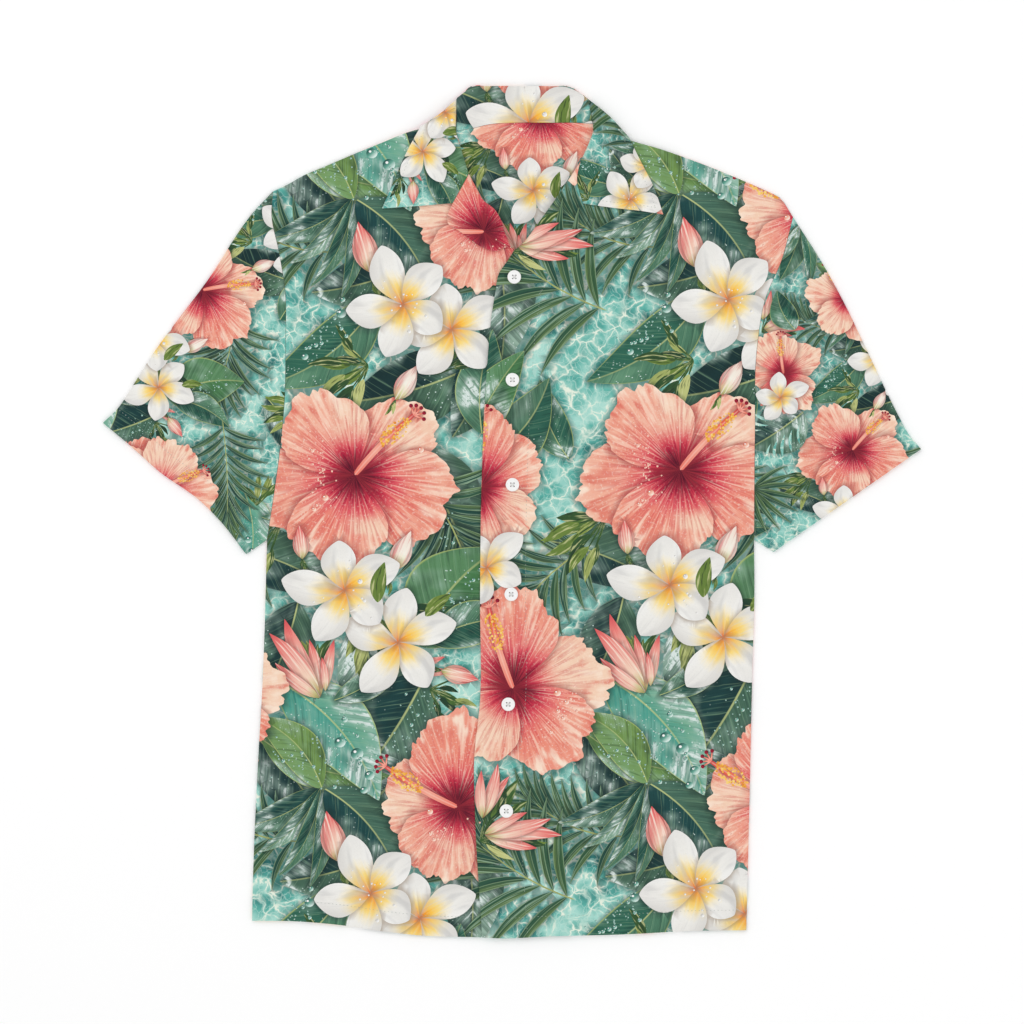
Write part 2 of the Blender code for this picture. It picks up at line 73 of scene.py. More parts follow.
MESH = 9.0  # spacing of the points inside a panel
EDGE_STEP = 3.0  # spacing of the points along an edge
COARSE = 9.0  # spacing along the lines that distances are measured from
EDGE_ROWS = (0.2, 0.55, 1.1, 2.2)  # rows of points beside an edge, where the cloth turns

HEM = ((-228.8, -359.5), (-192, -360), (-154, -363), (-113, -369), (-80, -372.5), (-27, -374.2),
       (-9, -375), (30, -373.3), (98, -371.6), (157, -368.6), (206.3, -367.9))
RIGHT_SIDE = ((-228.8, -359.5), (-228.3, -332), (-224, -229), (-219.5, -148), (-215.6, -24.5))
LEFT_SIDE = ((206.3, -367.9), (208.8, -266), (211.4, -148), (213.4, -68), (213, -24.5))
RIGHT_ARMHOLE = ((-215.6, -24.5), (-211, 5), (-204, 55), (-200, 99), (-199, 151), (-199.5, 195),
                 (-205, 229), (-211.5, 262), (-210.3, 282.3))
LEFT_ARMHOLE = ((213, -24.5), (213.6, 67), (215.6, 146), (222.6, 187), (237.2, 222), (247.3, 259.7))
RIGHT_SHOULDER = ((-210.3, 282.3), (-197.6, 288.3), (-182, 297), (-170, 302), (-116, 324.5),
                  (-82.7, 336.7), (-53, 339))
LEFT_SHOULDER = ((76, 340), (100, 328.6), (130, 319.6), (205, 291), (220, 284.4), (236, 276),
                 (247.3, 259.7))
RIGHT_SLEEVE_TOP = ((-210.3, 282.3), (-224.4, 267.7), (-268.4, 203.4), (-317, 137.8), (-337.7, 105),
                    (-345.4, 93.2), (-360.1, 78.5))
LEFT_SLEEVE_TOP = ((247.3, 259.7), (274.3, 217), (294.4, 180), (313, 141), (340.6, 84), (348.8, 69),
                   (360.1, 55.4))
RIGHT_CUFF = ((-360.1, 78.5), (-337.7, 60), (-309.6, 35), (-274.6, 10), (-254.9, -10), (-233.9, -37.3))
LEFT_CUFF = ((360.1, 55.4), (230.3, -35.1))
RIGHT_UNDERARM = ((-233.9, -37.3), (-215.6, -24.5))
LEFT_UNDERARM = ((230.3, -35.1), (213, -24.5))
NECK_SEAM = ((-49.5, 334.8), (-34.8, 337.0), (-23.8, 339.8), (-0.4, 342.2), (25, 342.4),
             (50, 342.4), (68, 342.2), (76, 340))
RIGHT_ROLL = ((1.3, 229.3), (-5.9, 245), (-9.5, 257), (-15, 266), (-25.6, 275), (-30, 283),
              (-37.8, 297.3), (-44.4, 318.7), (-49, 335.4))
LEFT_ROLL = ((1.3, 229.3), (8.5, 235.5), (24.3, 256), (44, 284), (60, 308), (67.2, 324), (71, 335.4))
FRONT_EDGE = ((1.3, 229.3), (-5.9, 218.3), (-10.4, 212.2), (-15.3, 190), (-22.9, 116), (-26.8, 28),
              (-28.2, -77), (-28.2, -165), (-33.4, -218), (-32.8, -262), (-26.4, -374.2))
RIGHT_FACING = ((-52.3, 271.2), (-57.2, 259), (-56.4, 253.4), (-47, 247.2), (-19.4, 230), (-14, 229),
                (-8, 232), (1.3, 232.1))
LEFT_FACING = ((62.4, 270.9), (67.2, 257.5), (66.4, 255.2), (42.9, 239), (24.6, 229), (13.2, 223.5),
               (6.2, 222), (1.3, 226.3))
RIGHT_GORGE = ((-37.8, 297.3), (-45.0, 284.2), (-52.3, 271.2))
LEFT_GORGE = ((60.0, 308.0), (57.2, 292.4), (62.4, 270.9))

# The collar: the line it rolls along, the folds round the shoulders, and its outer edges
NECK_ROLL = ((-49, 335.4), (-49, 349.4), (-48.8, 363.6), (-43.1, 368.6), (-36.1, 373.9),
             (-19.4, 374.9), (7.9, 375), (33.4, 374.8), (51.9, 373.7), (59.8, 368.8), (66, 364.2),
             (69.1, 352.1), (71, 341.6), (71, 335.4))
STAND_SEAM = ((-49, 335.4), (-36, 337.3), (-20, 341), (7.9, 342.5), (34, 342.5), (56, 342.5),
              (71, 341.6))
RIGHT_FOLD = ((-48.8, 363.6), (-63.5, 350.5), (-80.1, 339.8))
LEFT_FOLD = ((66.0, 364.2), (85.9, 348.3), (103.0, 329.7))
RIGHT_LEAF = ((-80.1, 339.8), (-87.1, 327.4), (-93.3, 315.5), (-103.8, 291.4), (-114.4, 266.8))
RIGHT_POINT = ((-114.4, 266.8), (-81, 269), (-52.3, 271.2))
LEFT_LEAF = ((103, 329.7), (108.2, 318.7), (115.3, 304.6), (124.8, 285.8), (133.1, 261.5))
LEFT_POINT = ((133.1, 261.5), (112.6, 264.7), (92.8, 266.8), (62.4, 270.9))
FALL = ((-80.1, 339.8), (-74, 322), (-60, 311), (-37, 305.5), (8, 304), (51, 305.5), (75, 310),
        (93, 320), (103, 329.7))

# The sides and lower edge of the half moon inside the neck, which the fronts cover
LINING_EDGES = (((71, 341.6), (96, 318), (84, 262), (44, 218)), ((44, 218), (10, 206), (-24, 212)),
                ((-24, 212), (-64, 252), (-76, 308), (-49, 335.4)))

# Soft folds of the upper layer: x, y of both ends, half-width, height
FOLDS = ((-196, 0, -96, 74, 15, 1.5), (-200, -46, -120, 8, 13, 1.1), (196, -8, 104, 62, 16, 1.4),
         (202, -60, 122, -12, 12, 1.0), (-318, 92, -246, 20, 13, 1.2), (-262, 150, -222, 60, 15, 1.3),
         (322, 70, 262, 8, 13, 1.2), (270, 150, 232, 70, 14, 1.1), (-128, -352, -104, -190, 17, 1.3),
         (104, -352, 118, -204, 18, 1.2), (168, -350, 160, -240, 14, 0.9),
         (-182, -340, -168, -236, 14, 1.0))

BUTTONS = ((2.0, 206.6), (0.4, 116.3), (0.4, 24.1), (-0.7, -72.2), (-3.3, -168.8), (-5.0, -262.6))
BUTTON_RADIUS, HOLE_RADIUS, HOLE_OFFSET, THREAD_SLIP = 6.0, 0.65, 1.35, 0.3
BUTTON_RINGS = (5.9, 5.7, 5.4, 5.0, 4.7, 4.5, 4.25, 4.0, 3.4)
# Heights of a button's upper and lower face: radius, height
BUTTON_TOP = ((0, 1.7), (4.0, 1.7), (4.25, 1.76), (4.5, 1.95), (4.7, 2.12), (5.0, 2.2), (5.4, 2.14),
              (5.7, 1.95), (5.9, 1.65), (6.0, 1.2))
BUTTON_BOTTOM = ((0, 0.0), (5.0, 0.0), (5.4, 0.1), (5.7, 0.3), (5.9, 0.6), (6.0, 1.0))

# ---------------------------------------------------------------- lines and outlines


def smooth(rows, step=EDGE_STEP):
    """Points about a step apart along a smooth curve through a table's rows."""
    knots = np.array(rows, float)
    run = np.r_[0, np.cumsum(np.linalg.norm(np.diff(knots, axis=0), axis=1))]
    slopes = np.gradient(knots, run, axis=0)
    at = np.linspace(0, run[-1], max(1, round(run[-1] / step)) + 1)
    k = np.clip(np.searchsorted(run, at, side="right") - 1, 0, len(run) - 2)
    reach = (run[k + 1] - run[k])[:, None]
    t = (at - run[k])[:, None] / reach
    start = (1 + 2 * t) * (1 - t) ** 2 * knots[k] + t * (1 - t) ** 2 * reach * slopes[k]
    return start + t**2 * (3 - 2 * t) * knots[k + 1] + t**2 * (t - 1) * reach * slopes[k + 1]


def coarse(*tables):
    return [smooth(rows, COARSE) for rows in tables]


def enclosed(*tables, step=EDGE_STEP):
    """One closed outline, counterclockwise, along tables that meet end to end, in either direction."""
    edges = [smooth(tables[0], step)]
    for rows in tables[1:]:
        edge, end = smooth(rows, step), edges[-1][-1]
        edges.append(edge if math.dist(edge[0], end) <= math.dist(edge[-1], end) else edge[::-1])
    outline = np.concatenate([edge[:-1] for edge in edges])
    x, y = outline.T
    return outline if (x * np.roll(y, -1) - y * np.roll(x, -1)).sum() > 0 else outline[::-1]


def circle(radius=1.0, centre=(0.0, 0.0), count=48):
    angle = np.linspace(0, 2 * math.pi, count, endpoint=False)
    return radius * np.column_stack([np.cos(angle), np.sin(angle)]) + centre


def inwards(outline):
    """The mitred inward normal at each point of a closed counterclockwise outline."""
    along = np.roll(outline, -1, axis=0) - outline
    along /= np.linalg.norm(along, axis=1)[:, None]
    normal = np.column_stack([-along[:, 1], along[:, 0]])
    before = np.roll(normal, 1, axis=0)
    return (normal + before) / np.maximum(1 + (normal * before).sum(1), 0.4)[:, None]


def beside(line, away):
    """A line moved sideways, to its left."""
    along = np.gradient(line, axis=0)
    out = np.column_stack([-along[:, 1], along[:, 0]])
    return line + away * out / np.linalg.norm(along, axis=1)[:, None]


def distance(points, line, batch=4000):
    """Distance from each point to the nearest stretch of a line."""
    start, along = line[:-1], np.diff(line, axis=0)
    length = (along**2).sum(1)
    nearest = np.empty(len(points))
    for i in range(0, len(points), batch):
        ox = points[i:i + batch, 0, None] - start[:, 0]
        oy = points[i:i + batch, 1, None] - start[:, 1]
        share = np.clip((ox * along[:, 0] + oy * along[:, 1]) / length, 0, 1)
        ox -= share * along[:, 0]
        oy -= share * along[:, 1]
        nearest[i:i + batch] = np.sqrt((ox * ox + oy * oy).min(1))
    return nearest


def inside(points, outline, batch=20000):
    (x0, y0), (x1, y1) = outline.T, np.roll(outline, -1, axis=0).T
    slope = (x1 - x0) / np.where(y1 == y0, 1.0, y1 - y0)
    found = np.empty(len(points), bool)
    for i in range(0, len(points), batch):
        x, y = points[i:i + batch, 0, None], points[i:i + batch, 1, None]
        crossing = ((y0 > y) != (y1 > y)) & (x < x0 + (y - y0) * slope)
        found[i:i + batch] = crossing.sum(1) % 2 == 1
    return found


def edge_distance(points, outline):
    """Distance to a closed outline, positive inside it and negative outside."""
    reach = distance(points, np.vstack([outline, outline[:1]]))
    return np.where(inside(points, outline), reach, -reach)


def ease(share):
    share = np.clip(share, 0, 1)
    return share * share * (3 - 2 * share)


# The tables round each form, in order
NECK_TOP = NECK_ROLL[2:-3]
FOOT, TOP = (UNDERLAP, -373.8), (UNDERLAP, RIGHT_ROLL[0][1] - 9)  # the hidden underlap
RIGHT_FRONT = ([row for row in HEM if row[0] < UNDERLAP] + [FOOT], (FOOT, TOP), (TOP, RIGHT_ROLL[0]),
               RIGHT_ROLL, (RIGHT_ROLL[-1], RIGHT_SHOULDER[-1]), RIGHT_SHOULDER, RIGHT_ARMHOLE,
               RIGHT_SIDE)
LEFT_FRONT = ([FRONT_EDGE[-1]] + [row for row in HEM if row[0] > FRONT_EDGE[-1][0] + 1], LEFT_SIDE,
              LEFT_ARMHOLE, LEFT_SHOULDER, (LEFT_SHOULDER[0], LEFT_ROLL[-1]), LEFT_ROLL, FRONT_EDGE)
BACK = (HEM, LEFT_SIDE, LEFT_ARMHOLE, LEFT_SHOULDER, NECK_SEAM, (NECK_SEAM[0], RIGHT_SHOULDER[-1]),
        RIGHT_SHOULDER, RIGHT_ARMHOLE, RIGHT_SIDE)
WHOLE = (HEM, LEFT_SIDE, LEFT_UNDERARM, LEFT_CUFF, LEFT_SLEEVE_TOP, LEFT_SHOULDER[2:],
         (LEFT_FOLD[-1], LEFT_SHOULDER[2]), LEFT_FOLD, NECK_TOP, RIGHT_FOLD,
         (RIGHT_FOLD[-1], RIGHT_SHOULDER[-2]), RIGHT_SHOULDER[:-1], RIGHT_SLEEVE_TOP, RIGHT_CUFF,
         RIGHT_UNDERARM, RIGHT_SIDE)
UNDER_BACK = FALL, LEFT_FOLD, NECK_TOP, RIGHT_FOLD

SHIRT, FALL_OUTLINE, RIGHT_OUTLINE = (enclosed(*tables, step=COARSE)
                                      for tables in (WHOLE, UNDER_BACK, RIGHT_FRONT))
ROLLS = coarse(RIGHT_ROLL, LEFT_ROLL)
SIDES = coarse(RIGHT_SIDE, LEFT_SIDE, RIGHT_SHOULDER, LEFT_SHOULDER)
ARMHOLES = coarse(RIGHT_ARMHOLE, LEFT_ARMHOLE)
TUBES = coarse(RIGHT_SLEEVE_TOP, RIGHT_UNDERARM, LEFT_SLEEVE_TOP, LEFT_UNDERARM)
CUFFS, FOLD_LINES = coarse(RIGHT_CUFF, LEFT_CUFF), coarse(RIGHT_FOLD, LEFT_FOLD)
HEM_LINE, EDGE_LINE, TOP_LINE, STAND_LINE = coarse(HEM, FRONT_EDGE, NECK_TOP, STAND_SEAM)


# ---------------------------------------------------------------- heights of the layers


def climb(points, outline):
    """The rise of a layer where it lies on the form inside an outline, and beside it."""
    return (CLOTH + GAP) * (1 - ease((-edge_distance(points, outline) - LEVEL) / RAMP))


def under(points):
    """Underside of the lower layer: flat, but raised where the collar's fall lies under it."""
    return climb(points, FALL_OUTLINE)


def folds(points):
    total = np.zeros(len(points))
    for x0, y0, x1, y1, width, height in FOLDS:
        start, along = np.array((x0, y0)), np.array((x1 - x0, y1 - y0))
        share = ((points - start) @ along) / (along @ along)
        away = distance(points, np.array(((x0, y0), (x1, y1))))
        total += height * np.exp(-((away / width) ** 2)) * ease(2.5 * share) * ease(2.5 - 2.5 * share)
    return total


def over(points):
    """Underside of the upper layer: the right front and the tops of the sleeves."""
    inward = edge_distance(points, SHIRT)
    roll = np.min([distance(points, line) for line in ROLLS], axis=0)
    loft = PUFF * ease(inward / PUFF_REACH) + folds(points) * ease(inward / FOLD_START)
    return under(points) + CLOTH + GAP + loft + ROLL_LIFT * np.exp(-((roll / ROLL_REACH) ** 2))


def lapped(points):
    """Underside of the left front, which climbs over the right front."""
    return over(points) + climb(points, RIGHT_OUTLINE)


def rolled(points, height, rolls):
    """Heights bent to a level along each line where the cloth rolls over: (line, reach, level)."""
    for line, reach, level in rolls:
        inner = np.clip(1 - distance(points, line) / reach, 0, 1)
        height = height + (1 - np.sqrt(1 - inner**2)) * (level - height)
    return height


def seamed(points, height):
    """Heights bent down, or up, to the middle of the side and shoulder seams."""
    level = under(points) + SEAM_BEND
    return rolled(points, height, [(line, SEAM_BEND, level) for line in SIDES])


def band(points, line, depth, rise=HEM_RISE):
    """The step of a hem that is turned in to a depth from a line."""
    return rise * (1 - ease((distance(points, line) - depth + STEP / 2) / STEP))


def groove(points):
    nearest = np.min([distance(points, line) for line in ARMHOLES], axis=0)
    return GROOVE_DEPTH * (1 - ease(nearest / GROOVE_REACH))


def gutter(points, line):
    away = abs(distance(points, line) - HEM_DEPTH + SEW_IN)
    return GUTTER_DEPTH * (1 - ease(away / GUTTER_REACH))


def right_skin(points):
    return seamed(points, over(points) + THIN + band(points, HEM_LINE, HEM_DEPTH) - groove(points))


def left_skin(points):
    height = lapped(points) + THIN + band(points, HEM_LINE, HEM_DEPTH) - groove(points)
    return seamed(points, height + band(points, EDGE_LINE, FACING_DEPTH, FACING_RISE))


def back_skin(points):
    return seamed(points, under(points) + groove(points) + gutter(points, HEM_LINE))


def lining_skin(points):
    """The upper side of the half moon of cloth inside the back of the neck."""
    return under(points) + THIN + LINING_THICK


def sleeve_skin(points):
    cuff = sum(band(points, line, HEM_DEPTH) for line in CUFFS)
    return rolled(points, over(points) + THIN + cuff - groove(points),
                  [(line, SEAM_BEND, SEAM_BEND) for line in TUBES])


def sleeve_underside(points):
    height = groove(points) + sum(gutter(points, line) for line in CUFFS)
    return rolled(points, height, [(line, SEAM_BEND, SEAM_BEND) for line in TUBES])


def leaf_skin(low, neck, fold):
    """The skin of a collar leaf, between the rolled neck edge and the fold round the shoulder."""
    def skin(points):
        flat = low(points) + CLOTH + GAP + LOOSE + LEAF_THICK
        share = ease((points[:, 1] - NECK_START) / NECK_RUN)
        level = low(points) * (1 - share) + NECK_LEVEL * share
        return rolled(points, flat, [(neck, NECK_REACH, level), (fold, FOLD_REACH, flat / 2)])

    return skin


def facing_skin(low, neck):
    def skin(points):
        flat = low(points) + CLOTH + GAP + LOOSE + THIN
        return rolled(points, flat, [(neck, NECK_REACH, low(points))])

    return skin


def fall_skin(points):
    """The underside of the fall, which turns up into the leaves and the stand."""
    folded = [(line, FOLD_REACH, (low(points) + CLOTH + GAP + LOOSE + LEAF_THICK) / 2)
              for line, low in zip(FOLD_LINES, (over, lapped))]
    return rolled(points, np.zeros(len(points)), [*folded, (TOP_LINE, STAND_REACH, STAND_REACH)])


def stand_skin(points):
    height = STAND_LOW + STAND_RISE * ease(distance(points, STAND_LINE) / STAND_RUN)
    return rolled(points, height, [(TOP_LINE, STAND_REACH, STAND_REACH)])


# ---------------------------------------------------------------- motifs of the print

# A closed outline in millimetres, and the place of the motif that it belongs to: its foot, the
# direction that it points in, its length and half-width, how far it bends, its tone and its seed
Patch = namedtuple("Patch", "kind outline foot angle length width bend tone seed")
# How the tile lies on a panel: where its first hibiscus is, its heading and scale, motifs of the
# panel's own, and where no flower of the tile is laid: x, y, radius
Print = namedtuple("Print", "anchor angle scale extra bare", defaults=(0.0, 1.0, (), ()))

STEPS = np.array(((286.0, 0.0), (28.0, 518.0)))  # from one repeat to the next beside it and above it
KINDS = ("water", "hibiscus", "stamen", "anther", "stigma", "plumeria", "leaf", "leaflet", "bract",
         "sprig", "drop", "thread")
FLOWERS = KINDS[1:6]
# How far a motif's shadow reaches over those below it
CASTS = {"hibiscus": 5.0, "plumeria": 4.5, "leaf": 4.0, "bract": 3.0, "leaflet": 2.0, "stamen": 2.5}
LEAST_DROP, LEAST_ANTHER = 2.0, 0.5  # radius and tone up to which the back leaves them out


def turned(points, angle):
    c, s = math.cos(angle), math.sin(angle)
    return points @ np.array(((c, s), (-s, c)))


def spoke(angle, x=1.0, y=0.0):
    """A vector turned by an angle in degrees."""
    return turned(np.array((x, y)), math.radians(angle))


def patch(kind, shape, foot, angle, length, width, bend=0.0, tone=0.5, seed=0.0):
    """A patch from a shape in its own units: x from foot to tip, y in half-widths."""
    x, y = shape.T
    own = np.column_stack([x * length, y * width + 4 * bend * length * x * (1 - x)])
    angle = math.radians(angle)
    return Patch(kind, turned(own, angle) + foot, np.array(foot, float), angle, length, width, bend,
                 tone, seed)


def own_place(motif, points):
    """Where points lie in a motif's own units, with its bend taken out."""
    x, y = np.moveaxis(turned(points - motif.foot, -motif.angle), -1, 0) / motif.length
    return np.stack([x, (y - 4 * motif.bend * x * (1 - x)) * motif.length / motif.width], -1)


def moved(motif, shift, angle, scale):
    return motif._replace(
        outline=turned(motif.outline, angle) * scale + shift,
        foot=turned(motif.foot, angle) * scale + shift,
        angle=motif.angle + angle, length=motif.length * scale, width=motif.width * scale,
    )


def leaf_shape(count, belly=0.8, fullness=0.85):
    """An outline from foot to tip and back, widest near the foot where belly is low."""
    x = 0.5 - 0.5 * np.cos(np.linspace(0, math.pi, count))
    y = np.sin(math.pi * x**belly) ** fullness
    return np.column_stack([np.r_[x, x[-2:0:-1]], np.r_[y, -y[-2:0:-1]]])


def ruffled_shape(rng, spread, count=132):
    """A hibiscus petal: round and broad, with a frilled edge, in radians of spread each side."""
    a = np.linspace(-spread, spread, count)
    share = a / spread
    uneven = a + 0.1 * np.sin(3.1 * a + rng.uniform(0, 6.3)) + 0.05 * np.sin(8.3 * a + rng.uniform(0, 6.3))

    def wave(waves):
        return np.sin(waves * uneven + rng.uniform(0, 6.3))

    lobes = 0.05 * wave(3.4) + 0.034 * wave(7) + 0.02 * wave(17)
    teeth = 0.04 * abs(wave(11)) + 0.036 * abs(wave(23)) + 0.016 * abs(wave(41))
    frill = lobes + teeth * (0.3 + 0.9 * abs(wave(4)))
    r = np.cos(share * math.pi / 2) ** 0.27 * (0.93 + frill * (1 - share**4))
    return np.column_stack([r * np.cos(a), r * np.sin(a)])


def leaf(x, y, length, width, angle, bend=0.05, tone=0.5, seed=0.0, kind="leaf", belly=0.8):
    return [patch(kind, leaf_shape(22, belly), (x, y), angle, length, width, bend, tone, seed)]


def blade(foot, angle, reach, bend, tone, rng):
    return patch("leaflet", leaf_shape(11, 0.8, 1.0), foot, angle, reach, reach * 0.046 + 1.1, bend,
                 tone + rng.uniform(-0.14, 0.14), rng.uniform(0, 1))


def frond(x, y, length, angle, size, bend=0.06, tone=0.5, seed=0, pairs=10):
    """A palm frond: pairs of narrow blades along a bent rib, shorter towards the tip."""
    rng = np.random.default_rng(seed)
    made = []
    for s in np.linspace(0.08, 1, pairs):
        foot = spoke(angle, length * s, length * 4 * bend * s * (1 - s)) + (x, y)
        heading = angle + math.degrees(math.atan(4 * bend * (1 - 2 * s)))
        reach = size * (0.55 + 0.55 * math.sin(math.pi * (0.25 + 0.6 * s))) * rng.uniform(0.9, 1.08)
        for sign in (1, -1):
            turn = sign * (74 - 54 * s + rng.uniform(-4, 4))
            made.append(blade(foot, heading + turn, reach, -sign * 0.08, tone, rng))
    return made + [patch("sprig", leaf_shape(9, 0.5, 0.3), (x, y), angle, length, 0.7, bend, 0.9, 0.3)]


def fan(x, y, reach, start, stop, count, tone=0.5, seed=0, bend=0.07):
    """Blades that spread from one point, curving back on each side of the middle."""
    rng = np.random.default_rng(seed)
    made = []
    for share in np.linspace(-1, 1, count):
        angle = (start + stop) / 2 + share * (stop - start) / 2
        size = reach * (1 - 0.16 * share**2) * rng.uniform(0.93, 1.05)
        made.append(blade((x, y), angle, size, -share * bend + rng.uniform(-0.02, 0.02), tone, rng))
    return made


def monstera(x, y, length, angle, tone, seed):
    """A broad dark leaf with slits between its ribs, which show the water."""
    made = leaf(x, y, length, length * 0.42, angle, 0.03, tone, seed, belly=0.72)
    for sign in (1, -1):
        for s in np.linspace(0.16, 0.7, 5):
            foot = spoke(angle, s * length, sign * length * 0.13) + (x, y)
            size = length * 0.36 * math.sin(math.pi * (0.2 + 0.75 * s))
            made.append(patch("water", leaf_shape(8, 1.3, 0.8), foot, angle + sign * (62 - 26 * s), size,
                              size * 0.07, -sign * 0.09))
    return made


def tilted(angles, tilt, axis):
    """Headings and lengths of spokes of a wheel seen at a slant, squeezed across an axis."""
    away = np.radians(angles - axis)
    x, y = np.cos(away), tilt * np.sin(away)
    return np.degrees(np.arctan2(y, x)) + axis, np.hypot(x, y)


def hibiscus(x, y, radius, angle, seed, stamen, tilt=0.86, reach=0.98, axis=None):
    """Five broad frilled petals round a dark throat, and the column of stamens over them."""
    rng = np.random.default_rng(seed)
    axis = stamen if axis is None else axis
    spokes, lengths = tilted(angle + np.arange(5) * 72 + rng.uniform(-11, 11, 5), tilt, axis)
    made = []
    for i in (0, 2, 4, 1, 3):
        size, tone = radius * lengths[i] * rng.uniform(0.88, 1.14), rng.uniform(0, 1)
        petal = ruffled_shape(rng, rng.uniform(0.82, 1.0))
        made.append(patch("hibiscus", petal, (x, y), spokes[i], size, size, 0.0, tone, rng.uniform(0, 1)))
    return made + column(np.array((x, y)), radius * reach, stamen, rng)


def column(centre, length, heading, rng):
    """The long style of a hibiscus, with its brush of anthers and five red stigmas."""
    made = [patch("stamen", leaf_shape(12, 0.55, 0.3), centre, heading, length, length * 0.034, 0.03)]
    for s in np.linspace(0.44, 0.85, 84):
        bow = 4 * 0.03 * s * (1 - s) + rng.uniform(-1, 1) * 0.1 * math.sin(math.pi * (s - 0.38) / 0.54)
        size = length * rng.uniform(0.009, 0.017)
        made.append(patch("anther", circle(count=6), centre + spoke(heading, length * s, length * bow), 0,
                          size, size, 0, rng.uniform(0, 1)))
    tip = centre + spoke(heading, length * 0.92)
    for turn in (-64, -30, 2, 33, 62):
        made += [patch("stamen", leaf_shape(6, 0.6, 0.35), tip, heading + turn, length * 0.11,
                       length * 0.009, 0, 0.5, 0.9),
                 patch("stigma", circle(count=8), tip + spoke(heading + turn, length * 0.115), 0,
                       length * 0.023, length * 0.023)]
    return made


def plumeria(x, y, radius, angle, seed, tilt=0.84, axis=30.0):
    """Five smooth petals that overlap like a pinwheel."""
    rng = np.random.default_rng(seed)
    shape = leaf_shape(22, 1.26, 0.72)
    spokes, lengths = tilted(angle - 72 * np.arange(5) + rng.uniform(-5, 5, 5), tilt, axis)
    lengths *= rng.uniform(0.88, 1.1, 5) * radius
    tones = rng.uniform(0, 1, 5)
    return [patch("plumeria", petal, (x, y), spokes[i], lengths[i], radius * 0.295, 0.06, tones[i], 0.2 * i)
            for i, petal in [*enumerate([shape] * 5), (0, shape[:22])]]


def spray(x, y, angle, sizes, spread, seed, tone):
    """Long pointed bracts with green feet, which fan out from one stalk."""
    return [patch("bract", leaf_shape(16, 0.85, 0.9), (x, y), angle + spread * (i - (len(sizes) - 1) / 2),
                  size, size * 0.115, 0.04 * math.sin(9.7 * (seed + i)), tone, (seed + i) * 0.37 % 1)
            for i, size in enumerate(sizes)]


def bud(x, y, length, angle, seed, tone=0.4):
    """A closed bud of three bracts that meet at its tip, on a cluster of pods."""
    return twigs(x, y, angle + 180, length * 0.5, 3, 50, seed) + [
        patch("bract", leaf_shape(14, 0.85, 0.9), (x, y), angle + 5 * side, length * size,
              length * size * width, 0.09 * side, tone, 0.37 * (seed + side) % 1)
        for side, size, width in ((1, 0.86, 0.15), (-1, 0.86, 0.15), (0, 1.0, 0.17))]


def twigs(x, y, angle, length, count, spread, seed):
    """A cluster of olive pods on thin stalks, which fan out from one point."""
    rng = np.random.default_rng(seed)
    made = []
    for i in range(count):
        heading = angle + 0.62 * spread * (i / max(1, count - 1) - 0.5) + rng.uniform(-12, 12)
        reach, size = length * rng.uniform(0.1, 0.6), length * rng.uniform(0.42, 0.66)
        made += [patch("sprig", leaf_shape(6, 0.6, 0.4), (x, y), heading, reach + 3, 0.9, 0.0, 0.3, 0.1),
                 patch("sprig", leaf_shape(9, 0.8, 0.9), spoke(heading, reach) + (x, y),
                       heading + rng.uniform(-18, 18), size, size * rng.uniform(0.11, 0.17),
                       rng.uniform(-0.1, 0.1), rng.uniform(0, 1), rng.uniform(0, 1))]
    return made


def drops(*rows, tone=0.0):
    """Beads of water, green over a leaf at tone 0, coral over a petal at 0.5 and clear at 1."""
    return [patch("drop", circle(count=14), (x, y), 0, radius, radius * 0.9, 0, tone, 0)
            for x, y, radius in rows]


def beads(x, y, spread, count, tone, seed, angle=0.0, flat=0.4):
    """Small beads of water, scattered within an ellipse."""
    rng = np.random.default_rng(seed)
    made = []
    for along, across in rng.normal(0, 0.42, (count, 2)) * (spread, spread * flat):
        size = rng.uniform(0.6, 1.0) + (rng.uniform(0, 1) > 0.86) * rng.uniform(0.5, 1.3)
        made.append(patch("drop", circle(count=8), spoke(angle, along, across) + (x, y), 0, size, size, 0,
                          tone, 0))
    return made


